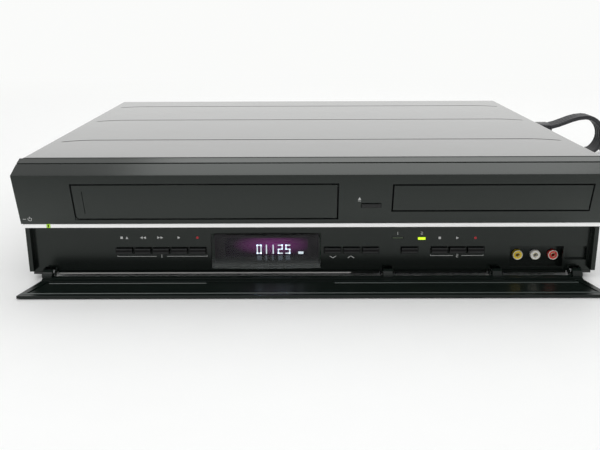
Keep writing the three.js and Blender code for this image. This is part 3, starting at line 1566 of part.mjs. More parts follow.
// Strain relief: flange inside the rear panel, collar and taper outside
const reliefY = rearOuterY + seatGap;
const reliefEndY = reliefY + reliefLength;
const reliefInnerY = rearPanelY - seatGap;
addSolid('strain_relief', turned([
  [0, reliefInnerY - reliefCollarThickness],
  [reliefCollarRadius, reliefInnerY - reliefCollarThickness],
  [reliefCollarRadius, reliefInnerY],
  [reliefRootRadius, reliefInnerY],
  [reliefRootRadius, reliefY],
  [reliefCollarRadius, reliefY],
  [reliefCollarRadius, reliefY + reliefCollarThickness],
  [reliefRootRadius, reliefY + reliefCollarThickness],
  [reliefTipRadius, reliefEndY],
  [0, reliefEndY],
], [cordX, 0, cordHeight], smallRoundSides, 'y'), rubber);

// Rear panel: plate with holes for the connectors and the lead, and a row of vents
const rearPanelX = grown([-coverInner, coverInner], -cornerGap);
const rearPanelZ = [panTop + seatGap, coverUnderside - cornerGap];
const rearHoles = [
  ...rearJackPlaces.map(([x, z]) => [x, z, jackBarrelRadius]),
  ...tunerSocketZ.map((z) => [tunerX, z, tunerSocketRadius]),
  [cordX, cordHeight, reliefRootRadius],
];
const rearTools = rearHoles.map(([x, z, radius]) => rod(
  'y',
  [x, rearPanelY - overrun, z],
  (radius + seatGap) / Math.cos(Math.PI / rearJackSides),
  sheetThickness + 2 * overrun,
  rearJackSides,
));
for (let i = 0; i < rearVentCount; i += 1) {
  rearTools.push(block(
    around(rearVentX + i * rearVentPitch, rearVentWidth),
    grown([rearPanelY, rearOuterY], overrun),
    around(middle(...rearPanelZ) + rearVentHeight / 2, rearVentHeight),
  ));
}
addSolid('rear_panel', cutAll(
  block(rearPanelX, [rearPanelY, rearOuterY], rearPanelZ),
  rearTools,
), galvanised);

// Mains lead: out of the relief, down to the floor and across to the hank
const floorLine = cordDiameter / 2;
const ease = (share) => (1 - Math.cos(Math.PI * share)) / 2;
const leadStartY = reliefEndY + seatGap;
const fallStartY = leadStartY + leadStraight;
const hankStartX = hankCentreX - hankRun / 2 - hankEndReach;
const leadPoints = [
  new THREE.Vector3(cordX, leadStartY, cordHeight),
  new THREE.Vector3(cordX, leadStartY + leadStraight / 2, cordHeight),
];
for (let i = 0; i <= leadFallSteps; i += 1) {
  const share = i / leadFallSteps;
  leadPoints.push(new THREE.Vector3(
    cordX,
    fallStartY + share * leadFallLength,
    cordHeight + (floorLine - cordHeight) * ease(share),
  ));
}
const turnCentre = [cordX + leadTurnRadius, hankY - leadTurnRadius];
for (let i = 0; i <= leadTurnSteps; i += 1) {
  const angle = Math.PI - (i / leadTurnSteps) * (Math.PI / 2);
  leadPoints.push(new THREE.Vector3(
    turnCentre[0] + leadTurnRadius * Math.cos(angle),
    turnCentre[1] + leadTurnRadius * Math.sin(angle),
    floorLine,
  ));
}
const leadEndX = hankStartX - seatGap;
leadPoints.push(new THREE.Vector3(middle(turnCentre[0], leadEndX), hankY, floorLine));
leadPoints.push(new THREE.Vector3(leadEndX, hankY, floorLine));
const cordSection = [];
for (let i = 0; i < cordSides; i += 1) {
  const angle = (i / cordSides) * 2 * Math.PI;
  cordSection.push(new THREE.Vector2(floorLine * Math.cos(angle), floorLine * Math.sin(angle)));
}
const leadGeometry = new THREE.ExtrudeGeometry(new THREE.Shape(cordSection), {
  steps: cordSteps,
  bevelEnabled: false,
  extrudePath: new THREE.CatmullRomCurve3(leadPoints),
});
addSolid('mains_cord', toSolid(leadGeometry), rubber);

// Hank: loops standing side by side on their long edge, drawn in at the waist, each
// climbing one lane to the back along its upper run
const hankPoints = [];
const hankHalfRun = hankRun / 2;
const laneY = (lane) => hankY + lane * hankPitch;
const bendCentreZ = floorLine + hankBendRadius;
const waistAt = (share) => hankWaist * ease(2 * share);
const addHankPoint = (x, y, z) => hankPoints.push(new THREE.Vector3(x, y, z));
addHankPoint(hankStartX, hankY, floorLine);
addHankPoint(hankStartX + cordDiameter, hankY, floorLine);
for (let loop = 0; loop <= hankLoops; loop += 1) {
  for (let i = 0; i <= hankRunSteps; i += 1) {
    const share = i / hankRunSteps;
    addHankPoint(hankCentreX + (share - 1 / 2) * hankRun, laneY(loop), floorLine + waistAt(share));
  }
  if (loop === hankLoops) break;
  for (let i = 1; i < hankBendSteps; i += 1) {
    const angle = (i / hankBendSteps - 1 / 2) * Math.PI;
    addHankPoint(
      hankCentreX + hankHalfRun + hankBendRadius * Math.cos(angle),
      laneY(loop),
      bendCentreZ + hankBendRadius * Math.sin(angle),
    );
  }
  for (let i = 0; i <= hankRunSteps; i += 1) {
    const share = i / hankRunSteps;
    addHankPoint(
      hankCentreX + (1 / 2 - share) * hankRun,
      laneY(loop + ease(share)),
      bendCentreZ + hankBendRadius - waistAt(share),
    );
  }
  for (let i = 1; i < hankBendSteps; i += 1) {
    const angle = (i / hankBendSteps + 1 / 2) * Math.PI;
    addHankPoint(
      hankCentreX - hankHalfRun + hankBendRadius * Math.cos(angle),
      laneY(loop + 1),
      bendCentreZ + hankBendRadius * Math.sin(angle),
    );
  }
}
const plugZ = plugBodyHeight / 2;
const plugRiseX = hankCentreX + hankHalfRun;
for (let i = 1; i <= plugRiseSteps; i += 1) {
  const share = i / plugRiseSteps;
  const height = floorLine + (plugZ - floorLine) * ease(share);
  addHankPoint(plugRiseX + share * plugRiseLength, laneY(hankLoops), height);
}
const hankEndX = plugRiseX + hankEndReach;
addHankPoint(hankEndX - cordDiameter, laneY(hankLoops), plugZ);
addHankPoint(hankEndX, laneY(hankLoops), plugZ);
const sectionRing = (points, index) => {
  const before = points[Math.max(0, index - 1)];
  const after = points[Math.min(points.length - 1, index + 1)];
  const tangent = after.clone().sub(before).normalize();
  const side = new THREE.Vector3(0, 1, 0);
  side.addScaledVector(tangent, -tangent.y).normalize();
  const up = tangent.clone().cross(side);
  const ring = [];
  for (let i = 0; i < hankSides; i += 1) {
    const angle = (i / hankSides) * 2 * Math.PI;
    ring.push(points[index].clone()
      .addScaledVector(side, floorLine * Math.cos(angle))
      .addScaledVector(up, floorLine * Math.sin(angle)));
  }
  return ring;
};
const woundTube = (points) => {
  const corners = points.flatMap((point, index) => sectionRing(points, index));
  const triangles = [];
  for (let ring = 0; ring < points.length - 1; ring += 1) {
    for (let i = 0; i < hankSides; i += 1) {
      const [a, b] = [ring * hankSides + i, ring * hankSides + (i + 1) % hankSides];
      triangles.push(a, b, b + hankSides, a, b + hankSides, a + hankSides);
    }
  }
  const last = (points.length - 1) * hankSides;
  for (let i = 1; i < hankSides - 1; i += 1) {
    triangles.push(0, i + 1, i, last, last + i, last + i + 1);
  }
  const geometry = new THREE.BufferGeometry();
  geometry.setAttribute('position', new THREE.Float32BufferAttribute(corners.flatMap((p) => p.toArray()), 3));
  geometry.setIndex(triangles);
  geometry.computeVertexNormals();
  return geometry;
};
addPiece('cord_hank', woundTube(hankPoints), rubber);

// Least gap of the hank to itself, and the real length of the lead
const lengthOf = (points) => points.slice(1).reduce((sum, point, i) => sum + point.distanceTo(points[i]), 0);
const travelled = [0];
hankPoints.slice(1).forEach((point, i) => travelled.push(travelled[i] + point.distanceTo(hankPoints[i])));
let leastGap = Infinity;
hankPoints.forEach((point, i) => {
  hankPoints.slice(i + 1).forEach((other, j) => {
    if (travelled[i + 1 + j] - travelled[i] < hankBendRadius) return;
    leastGap = Math.min(leastGap, point.distanceTo(other) - cordDiameter);
  });
});
console.log(`hank: least gap ${leastGap.toFixed(2)} mm`);
console.log(`lead: ${(lengthOf(leadPoints) + travelled[travelled.length - 1]).toFixed(0)} mm`);

// Mains plug: neck, body with rounded ends and two flat blades, lying on the floor
const plugY = laneY(hankLoops);
const plugX = hankEndX + seatGap;
const plugBodyX = [plugX + plugNeckLength, plugX + plugNeckLength + plugBodyLength];
const plugParts = [
  rod('x', [plugX, plugY, plugZ], plugNeckRadius, plugNeckLength + overrun),
  block(plugBodyX, around(plugY, plugBodyWidth - plugBodyHeight), [0, plugBodyHeight]),
];
for (const y of around(plugY, plugBodyWidth - plugBodyHeight)) {
  plugParts.push(rod('x', [plugBodyX[0], y, plugZ], plugBodyHeight / 2, plugBodyLength));
}
for (const y of around(plugY, plugBladeSpacing)) {
  plugParts.push(block(
    [plugBodyX[1] - overrun, plugBodyX[1] + plugBladeLength],
    around(y, plugBladeThickness),
    around(plugZ, plugBladeWidth),
  ));
}
addSolid('mains_plug', join(plugParts), rubber);

// Move the player to the middle of its footprint
const footprintFrontY = doorFreeEdgeY;
const footprintBackY = rearOuterY + tunerSocketProud;
player.children.forEach((mesh) => mesh.geometry.translate(0, -middle(footprintFrontY, footprintBackY), 0));

export default player;
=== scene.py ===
"""Disc and cassette combination player with its front door open, dressed for a render."""
import math

import bmesh
import bpy
from mathutils import Matrix, Vector


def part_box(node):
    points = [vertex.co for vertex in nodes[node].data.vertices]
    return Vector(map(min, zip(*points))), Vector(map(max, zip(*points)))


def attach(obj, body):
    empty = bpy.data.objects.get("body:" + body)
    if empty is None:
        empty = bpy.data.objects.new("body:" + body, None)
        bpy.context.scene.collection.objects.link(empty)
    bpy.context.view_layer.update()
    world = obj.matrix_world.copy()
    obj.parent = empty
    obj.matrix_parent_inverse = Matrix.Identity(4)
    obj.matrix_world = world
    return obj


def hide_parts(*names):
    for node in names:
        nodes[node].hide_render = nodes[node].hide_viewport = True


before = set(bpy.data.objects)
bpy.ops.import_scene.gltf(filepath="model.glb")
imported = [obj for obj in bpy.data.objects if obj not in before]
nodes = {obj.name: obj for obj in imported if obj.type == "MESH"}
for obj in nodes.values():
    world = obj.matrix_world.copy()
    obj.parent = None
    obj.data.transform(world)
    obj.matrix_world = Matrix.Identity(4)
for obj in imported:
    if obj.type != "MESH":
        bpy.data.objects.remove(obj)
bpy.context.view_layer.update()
scene = bpy.context.scene

# Camera
# The view of the photograph: low, straight on and close, which spreads the front widely.
# Its place and lens were fitted to the corners of the housing. Depths are measured from
# the front edge of the cover, as in the CAD source.
EDGE_Y = round(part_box("top_cover")[0].y, 6)
PITCH, YAW, ROLL = 0.287, 0.004, -0.004
EYE_X, EYE_Y, EYE_Z = -0.0068, -0.5472, 0.2029
camera_data = bpy.data.cameras.new("camera")
camera_data.lens = 45.06
camera_data.sensor_width = 36.0
camera = bpy.data.objects.new("camera", camera_data)
scene.collection.objects.link(camera)
turn = Matrix.Rotation(YAW, 3, "Z") @ Matrix.Rotation(-PITCH, 3, "X")
forward = turn @ Vector((0, 1, 0))
level_right = turn @ Vector((1, 0, 0))
level_up = turn @ Vector((0, 0, 1))
right = math.cos(ROLL) * level_right + math.sin(ROLL) * level_up
up = right.cross(forward)
view = Matrix((right, up, -forward)).transposed().to_4x4()
view.translation = Vector((EYE_X, EYE_Y + EDGE_Y, EYE_Z))
camera.matrix_world = view
scene.camera = camera

# Mains lead
# Round black lead of about 1.87 m, moulded in soft plastic. It leaves the strain relief
# on the rear panel, drops to the table and ends in a hank of four standing loops.
LEAD_RADIUS = 0.003
RELIEF_X, RELIEF_END, RELIEF_HEIGHT = 0.172, 0.3496, 0.034
LEAD_STRAIGHT, FALL_LENGTH, TURN_RADIUS = 0.0074, 0.066, 0.04
HANK_X, HANK_Y, HANK_RUN, HANK_LOOPS = 0.322, 0.466, 0.106, 4
HANK_BEND, HANK_LANE, HANK_WAIST = 0.0255, 0.0069, 0.014
PLUG_X, PLUG_HEIGHT, PLUG_STRAIGHT, RISE_RUN = 0.41, 0.0075, 0.006, 0.024
START_STEPS, FALL_STEPS, TURN_STEPS, FLAT_STEPS = 3, 16, 12, 7
RUN_STEPS, BEND_STEPS, RISE_STEPS = 12, 16, 8
lead_route = []


def ease(share):
    return (1 - math.cos(math.pi * share)) / 2


def along(x, y, z):
    lead_route.append((x, y + EDGE_Y, z))


for i in range(START_STEPS):
    along(RELIEF_X, RELIEF_END + LEAD_STRAIGHT * i / START_STEPS, RELIEF_HEIGHT)
for i in range(FALL_STEPS + 1):
    share = i / FALL_STEPS
    along(
        RELIEF_X,
        RELIEF_END + LEAD_STRAIGHT + FALL_LENGTH * share,
        RELIEF_HEIGHT + (LEAD_RADIUS - RELIEF_HEIGHT) * ease(share),
    )
turn_x, turn_y = RELIEF_X + TURN_RADIUS, HANK_Y - TURN_RADIUS
for i in range(TURN_STEPS + 1):
    angle = math.pi - i / TURN_STEPS * math.pi / 2
    along(
        turn_x + TURN_RADIUS * math.cos(angle), turn_y + TURN_RADIUS * math.sin(angle),
        LEAD_RADIUS,
    )
hank_left, hank_right = HANK_X - HANK_RUN / 2, HANK_X + HANK_RUN / 2
for i in range(1, FLAT_STEPS):
    along(turn_x + (hank_left - turn_x) * i / FLAT_STEPS, HANK_Y, LEAD_RADIUS)
for loop in range(HANK_LOOPS + 1):
    lane = HANK_Y + loop * HANK_LANE
    for i in range(RUN_STEPS + 1):
        share = i / RUN_STEPS
        along(hank_left + share * HANK_RUN, lane, LEAD_RADIUS + HANK_WAIST * ease(2 * share))
    if loop == HANK_LOOPS:
        break
    for i in range(1, BEND_STEPS):
        angle = (i / BEND_STEPS - 0.5) * math.pi
        along(
            hank_right + HANK_BEND * math.cos(angle),
            lane,
            LEAD_RADIUS + HANK_BEND + HANK_BEND * math.sin(angle),
        )
    for i in range(RUN_STEPS + 1):
        share = i / RUN_STEPS
        along(
            hank_right - share * HANK_RUN,
            lane + HANK_LANE * ease(share),
            LEAD_RADIUS + 2 * HANK_BEND - HANK_WAIST * ease(2 * share),
        )
    for i in range(1, BEND_STEPS):
        angle = (i / BEND_STEPS + 0.5) * math.pi
        along(
            hank_left + HANK_BEND * math.cos(angle),
            lane + HANK_LANE,
            LEAD_RADIUS + HANK_BEND + HANK_BEND * math.sin(angle),
        )
for i in range(1, RISE_STEPS + 1):
    share = i / RISE_STEPS
    rise = (PLUG_HEIGHT - LEAD_RADIUS) * ease(share)
    along(hank_right + RISE_RUN * share, lane, LEAD_RADIUS + rise)
along(PLUG_X - PLUG_STRAIGHT, lane, PLUG_HEIGHT)
along(PLUG_X, lane, PLUG_HEIGHT)

lead_curve = bpy.data.curves.new("mains_lead", "CURVE")
lead_curve.dimensions = "3D"
lead_curve.bevel_depth = LEAD_RADIUS
lead_curve.bevel_resolution = 4
lead_curve.use_fill_caps = True
lead_line = lead_curve.splines.new("POLY")
lead_line.points.add(len(lead_route) - 1)
for point, place in zip(lead_line.points, lead_route):
    point.co = (*place, 1)
lead_line.use_smooth = True
lead = bpy.data.objects.new("mains_lead", lead_curve)
scene.collection.objects.link(lead)


def finish(
    name, colour, roughness, metallic=0.0, grain=0.0, grain_size=2500.0, shift=0.06, edge=True,
):
    """A finish whose colour and roughness wander a little, with a fine moulded grain when grain
    is given.
    """
    material = bpy.data.materials.new(name)
    material.use_nodes = True
    tree = material.node_tree
    shader = tree.nodes["Principled BSDF"]
    place = tree.nodes.new("ShaderNodeTexCoord")
    cloud = tree.nodes.new("ShaderNodeTexNoise")
    cloud.inputs["Scale"].default_value = 35
    cloud.inputs["Detail"].default_value = 4
    tree.links.new(place.outputs["Object"], cloud.inputs["Vector"])
    tint = tree.nodes.new("ShaderNodeValToRGB")
    tint.color_ramp.elements[0].position = 0.3
    tint.color_ramp.elements[1].position = 0.7
    tint.color_ramp.elements[0].color = (*[c * (1 - shift) for c in colour], 1)
    tint.color_ramp.elements[1].color = (*[min(1, c * (1 + shift)) for c in colour], 1)
    tree.links.new(cloud.outputs["Fac"], tint.inputs["Fac"])
    tree.links.new(tint.outputs["Color"], shader.inputs["Base Color"])
    gloss = tree.nodes.new("ShaderNodeMapRange")
    gloss.inputs["To Min"].default_value = roughness * 0.9
    gloss.inputs["To Max"].default_value = min(1, roughness * 1.1)
    tree.links.new(cloud.outputs["Fac"], gloss.inputs["Value"])
    tree.links.new(gloss.outputs["Result"], shader.inputs["Roughness"])
    shader.inputs["Metallic"].default_value = metallic
    if not edge:
        return material
    rounding = tree.nodes.new("ShaderNodeBevel")
    rounding.samples = 4
    rounding.inputs["Radius"].default_value = 0.0003
    if grain:
        speckle = tree.nodes.new("ShaderNodeTexNoise")
        speckle.inputs["Scale"].default_value = grain_size
        speckle.inputs["Detail"].default_value = 2
        tree.links.new(place.outputs["Object"], speckle.inputs["Vector"])
        bump = tree.nodes.new("ShaderNodeBump")
        bump.inputs["Strength"].default_value = grain
        bump.inputs["Distance"].default_value = 0.0001
        tree.links.new(speckle.outputs["Fac"], bump.inputs["Height"])
        tree.links.new(rounding.outputs["Normal"], bump.inputs["Normal"])
        tree.links.new(bump.outputs["Normal"], shader.inputs["Normal"])
    else:
        tree.links.new(rounding.outputs["Normal"], shader.inputs["Normal"])
    return material


def shader_of(material):
    return material.node_tree.nodes["Principled BSDF"]


def dress(name, material):
    """Gives a piece that keeps its built shape its finish."""
    piece = nodes[name]
    if not piece.material_slots:
        piece.data.materials.append(material)
    for material_slot in piece.material_slots:
        material_slot.material = material


def patch(material, low, high, colour, roughness, metallic=0.0, specular=0.5):
    """Gives the part of a piece inside a box, in its own coordinates, another finish."""
    tree = material.node_tree
    shader = shader_of(material)
    place = tree.nodes.new("ShaderNodeTexCoord")
    from_middle = tree.nodes.new("ShaderNodeVectorMath")
    from_middle.operation = "SUBTRACT"
    from_middle.inputs[1].default_value = [(a + b) / 2 for a, b in zip(low, high)]
    tree.links.new(place.outputs["Object"], from_middle.inputs[0])
    distance = tree.nodes.new("ShaderNodeVectorMath")
    distance.operation = "ABSOLUTE"
    tree.links.new(from_middle.outputs[0], distance.inputs[0])
    share = tree.nodes.new("ShaderNodeVectorMath")
    share.operation = "DIVIDE"
    share.inputs[1].default_value = [(b - a) / 2 for a, b in zip(low, high)]
    tree.links.new(distance.outputs[0], share.inputs[0])
    axes = tree.nodes.new("ShaderNodeSeparateXYZ")
    tree.links.new(share.outputs[0], axes.inputs[0])
    furthest = axes.outputs["X"]
    for axis in "YZ":
        larger = tree.nodes.new("ShaderNodeMath")
        larger.operation = "MAXIMUM"
        tree.links.new(furthest, larger.inputs[0])
        tree.links.new(axes.outputs[axis], larger.inputs[1])
        furthest = larger.outputs[0]
    inside = tree.nodes.new("ShaderNodeMath")
    inside.operation = "LESS_THAN"
    inside.inputs[1].default_value = 1.0
    tree.links.new(furthest, inside.inputs[0])
    tint = tree.nodes.new("ShaderNodeMix")
    tint.data_type = "RGBA"
    tree.links.new(inside.outputs[0], tint.inputs["Factor"])
    tree.links.new(shader.inputs["Base Color"].links[0].from_socket, tint.inputs["A"])
    tint.inputs["B"].default_value = (*colour, 1)
    tree.links.new(tint.outputs["Result"], shader.inputs["Base Color"])
    finishes = {"Roughness": roughness, "Metallic": metallic, "Specular IOR Level": specular}
    for name, value in finishes.items():
        blend = tree.nodes.new("ShaderNodeMix")
        tree.links.new(inside.outputs[0], blend.inputs["Factor"])
        blend.inputs["A"].default_value = shader.inputs[name].default_value
        if shader.inputs[name].is_linked:
            tree.links.new(shader.inputs[name].links[0].from_socket, blend.inputs["A"])
        blend.inputs["B"].default_value = value
        tree.links.new(blend.outputs["Result"], shader.inputs[name])


soft_black = finish("soft_black_sheath", (0.008, 0.009, 0.012), 0.2)
lead_curve.materials.append(soft_black)
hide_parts("mains_cord", "cord_hank")
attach(lead, "player")
BLADE_LENGTH, BLADE_MARGIN = 0.0168, 0.01
plug_low, plug_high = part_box("mains_plug")
plug_black = finish("plug_black", (0.009, 0.01, 0.013), 0.36, grain=0.2, grain_size=900)
patch(
    plug_black,
    (plug_high.x - BLADE_LENGTH, plug_low.y - BLADE_MARGIN, plug_low.z - BLADE_MARGIN),
    (plug_high.x + BLADE_MARGIN, plug_high.y + BLADE_MARGIN, plug_high.z + BLADE_MARGIN),
    (0.72, 0.7, 0.66), 0.25, metallic=1.0,
)
dress("mains_plug", plug_black)
dress("strain_relief", soft_black)

# Mains lead tie
# A thin black tie of coated wire is wound seven times round the waist of the hank. It is
# wound on tightly, so it lies against the outer strands all round.
TIE_RADIUS, TIE_TURNS, TIE_STEPS = 0.0011, 7, 28
TIE_X, TIE_WIDTH = HANK_X - 0.008, 0.016
TIE_STANDOFF = 0.0012
TIE_SQUARENESS = 0.75
tie_low = HANK_WAIST - TIE_RADIUS
tie_high = 2 * (HANK_BEND + LEAD_RADIUS) - HANK_WAIST + TIE_RADIUS
tie_front = HANK_Y - LEAD_RADIUS - TIE_STANDOFF
tie_back = HANK_Y + HANK_LOOPS * HANK_LANE + LEAD_RADIUS + TIE_STANDOFF
tie_curve = bpy.data.curves.new("hank_tie", "CURVE")
tie_curve.dimensions = "3D"
tie_curve.bevel_depth = TIE_RADIUS
tie_curve.bevel_resolution = 2
tie_line = tie_curve.splines.new("POLY")
tie_points = []
for i in range(TIE_TURNS * TIE_STEPS + 1):
    angle = 2 * math.pi * i / TIE_STEPS
    across, upward = math.cos(angle), math.sin(angle)
    square = max(abs(across), abs(upward)) ** TIE_SQUARENESS
    tie_points.append((
        TIE_X + TIE_WIDTH * i / (TIE_TURNS * TIE_STEPS),
        (tie_front + tie_back) / 2 + (tie_back - tie_front) / 2 * across / square + EDGE_Y,
        (tie_low + tie_high) / 2 + (tie_high - tie_low) / 2 * upward / square,
    ))
tie_line.points.add(len(tie_points) - 1)
for point, place in zip(tie_line.points, tie_points):
    point.co = (*place, 1)
tie_line.use_smooth = True
hank_tie = bpy.data.objects.new("hank_tie", tie_curve)
scene.collection.objects.link(hank_tie)
tie_curve.materials.append(soft_black)
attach(hank_tie, "player")

# Feet, bottom pan and the bare steel parts
# Four round rubber pads stand under a zinc plated steel pan, whose sides are folded up.
# The rear panel, the deck's chassis and holder and the traverse are pressed from the same.
foot_rubber = finish("foot_rubber", (0.035, 0.035, 0.035), 0.8, grain=0.3, grain_size=1400)
for corner in ("front_left", "front_right", "rear_left", "rear_right"):
    dress("foot_" + corner, foot_rubber)
zinc = finish(
    "zinc_plate", (0.5, 0.51, 0.52), 0.38, metallic=0.9, grain=0.2, grain_size=300, shift=0.05,
)
for name in (
    "bottom_pan", "rear_panel", "deck_chassis", "cassette_holder", "traverse", "pinch_arm",
):
    dress(name, zinc)

# Top cover
# One steel sheet bent down both sides, pressed with three shallow grooves across the top
# and painted a fine satin black that mirrors the pale room at a low angle.
cover_paint = finish("cover_paint", (0.022, 0.022, 0.021), 0.2, shift=0.01)
shader_of(cover_paint).inputs["Coat Weight"].default_value = 0.7
shader_of(cover_paint).inputs["Coat Roughness"].default_value = 0.16
dress("top_cover", cover_paint)

# Front fascia, cassette flap and tray front
# One black styrene moulding with a bevelled brow, and the leaning flap and tray front
# that fill its two mouths, all with the same fine satin grain.
face_black = finish(
    "face_black", (0.003, 0.0046, 0.0038), 0.2, grain=0.12, grain_size=3000, shift=0.03,
)
face_shader = shader_of(face_black)
face_shader.inputs["Specular Tint"].default_value = (0.93, 1.0, 0.95, 1)
# Painted sheen: the strength of the face's reflection changes with height, to stand in for how
# light falls on it: over the panel, from the foot to the head of the leaning face, on the bevel
# and on the ledge under the cover.
SHEEN_SPAN = 0.1
painted_sheen_steps = (
    (0.0, 0.41), (0.042, 0.41),
    (0.046, 0.72), (0.085, 0.42),
    (0.0865, 0.525), (0.0925, 0.525),
    (0.0935, 0.465),
)
face_tree = face_black.node_tree
face_place = face_tree.nodes.new("ShaderNodeTexCoord")
face_axes = face_tree.nodes.new("ShaderNodeSeparateXYZ")
face_height = face_tree.nodes.new("ShaderNodeMath")
face_height.operation = "MULTIPLY"
face_height.inputs[1].default_value = 1 / SHEEN_SPAN
face_painted_sheen = face_tree.nodes.new("ShaderNodeValToRGB")
while len(face_painted_sheen.color_ramp.elements) < len(painted_sheen_steps):
    face_painted_sheen.color_ramp.elements.new(0.5)
for step, (height, sheen) in zip(face_painted_sheen.color_ramp.elements, painted_sheen_steps):
    step.position = height / SHEEN_SPAN
    step.color = (sheen, sheen, sheen, 1)
face_tree.links.new(face_place.outputs["Object"], face_axes.inputs["Vector"])
face_tree.links.new(face_axes.outputs["Z"], face_height.inputs[0])
face_tree.links.new(face_height.outputs[0], face_painted_sheen.inputs["Fac"])
face_tree.links.new(face_painted_sheen.outputs["Color"], face_shader.inputs["Specular IOR Level"])
for name in ("front_fascia", "cassette_flap", "tray_bezel"):
    dress(name, face_black)

# Skirt of the front moulding
# A thin black lip along the lower edge of the moulding, with gaps for the four arms of the door.
# A pale band is painted along the foot of its left half, a painted highlight that stands in for
# the pale table lighting it from below.
SKIRT_END, SKIRT_FOOT, SKIRT_HEAD = 0.2137, 0.0039, 0.006
SKIRT_FRONT, SKIRT_BACK = -0.004, -0.0015
ARM_PLACES, ARM_CLEARANCE = (-0.2005, 0.0575, 0.14, 0.2005), 0.006
PAINTED_GLINT_LEFT, PAINTED_GLINT_RIGHT, PAINTED_GLINT_HEAD = -0.195, 0.03, 0.0049
skirt_lefts = (-SKIRT_END, *(x + ARM_CLEARANCE for x in ARM_PLACES))
skirt_rights = (*(x - ARM_CLEARANCE for x in ARM_PLACES), SKIRT_END)
skirt_mesh = bpy.data.meshes.new("moulding_skirt")
skirt = bmesh.new()
for left, right in zip(skirt_lefts, skirt_rights):
    for corner in bmesh.ops.create_cube(skirt, size=1)["verts"]:
        corner.co = (
            right if corner.co.x > 0 else left,
            EDGE_Y + (SKIRT_BACK if corner.co.y > 0 else SKIRT_FRONT),
            SKIRT_HEAD if corner.co.z > 0 else SKIRT_FOOT,
        )
skirt.to_mesh(skirt_mesh)
skirt.free()
skirt_black = finish("skirt_black", (0.003, 0.0046, 0.0038), 0.3)
# Painted highlight: a pale band along the foot of the lip's left half.
patch(skirt_black, (PAINTED_GLINT_LEFT, -1, 0), (PAINTED_GLINT_RIGHT, 1, PAINTED_GLINT_HEAD), (0.4, 0.4, 0.39), 0.4)
skirt_mesh.materials.append(skirt_black)
moulding_skirt = bpy.data.objects.new("moulding_skirt", skirt_mesh)
scene.collection.objects.link(moulding_skirt)
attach(moulding_skirt, "player")

# Silver trim and power key
# A bright silver painted strip is pressed into its groove and divides the face. Its left
# end is a cap of the same finish, the power key.
silver_paint = finish("silver_paint", (0.95, 0.95, 0.94), 0.3, metallic=0.1, shift=0.01)
for name in ("trim_strip", "power_key"):
    dress(name, silver_paint)

# Keys of the lower panel and the tray key
# Small satin caps of black plastic in wells, each with a stem to its switch. A dark band of
# painted shade, standing in for the shade of the wells, crosses the caps of the lower panel.
key_black = finish(
    "key_black", (0.004, 0.005, 0.005), 0.4, grain=0.2, grain_size=3000, shift=0.02,
)
lower_keys = (
    "stop_eject_key", "rewind_key", "forward_key", "play_key", "record_key",
    "channel_down_key", "channel_up_key", "dubbing_key", "select_key",
    "disc_stop_key", "disc_play_key", "disc_record_key",
)
PAINTED_SHADE_FOOT, PAINTED_SHADE_HEAD = 0.022, 0.0236
# Painted shade: a dark band with a weaker reflection across the caps, where the well's upper edge
# shades them.
patch(
    key_black, (-1, -1, PAINTED_SHADE_FOOT), (1, 1, PAINTED_SHADE_HEAD), (0.002, 0.002, 0.002), 0.5,
    specular=0.2,
)
for name in (*lower_keys, "tray_key"):
    dress(name, key_black)

# Lamps
# Light guides of clear green plastic, set into the panel and into the end of the trim. The
# power lamp and the disc lamp are lit from behind, and the cassette lamp is off.
def light_up(material, colour, strength):
    """Lets a finish glow."""
    shader_of(material).inputs["Emission Color"].default_value = (*colour, 1)
    shader_of(material).inputs["Emission Strength"].default_value = strength


for name, guide, colour, strength in (
    ("power_lamp", "power_glow", (0.34, 0.6, 0.02), 0.35),
    ("disc_lamp", "disc_glow", (0.55, 0.85, 0.02), 1.0),
    ("cassette_lamp", "unlit_lens", (0.1, 0.13, 0.08), 0.0),
):
    guide_plastic = finish(guide, colour, 0.3)
    light_up(guide_plastic, colour, strength)
    dress(name, guide_plastic)

# Display window
# A thin window of smoked plastic that bows forward between its ends, set into the panel. Its foot
# is painted paler, a painted reflection of the table.
window_smoke = finish("window_smoke", (0.006, 0.005, 0.008), 0.07, edge=False)
smoke_tree = window_smoke.node_tree
shader_of(window_smoke).inputs["Alpha"].default_value = 0.35
smoke_place = smoke_tree.nodes.new("ShaderNodeTexCoord")
smoke_axes = smoke_tree.nodes.new("ShaderNodeSeparateXYZ")
# Painted reflection: the base colour turns paler towards the foot of the window.
painted_reflection_ramp = smoke_tree.nodes.new("ShaderNodeValToRGB")
painted_reflection_ramp.color_ramp.elements[0].position = 0.05
painted_reflection_ramp.color_ramp.elements[0].color = (0.17, 0.185, 0.18, 1)
painted_reflection_ramp.color_ramp.elements[1].position = 0.38
painted_reflection_ramp.color_ramp.elements[1].color = (0.006, 0.005, 0.008, 1)
smoke_tree.links.new(smoke_place.outputs["Generated"], smoke_axes.inputs["Vector"])
smoke_tree.links.new(smoke_axes.outputs["Z"], painted_reflection_ramp.inputs["Fac"])
smoke_tree.links.new(painted_reflection_ramp.outputs["Color"], shader_of(window_smoke).inputs["Base Color"])
dress("display_window", window_smoke)

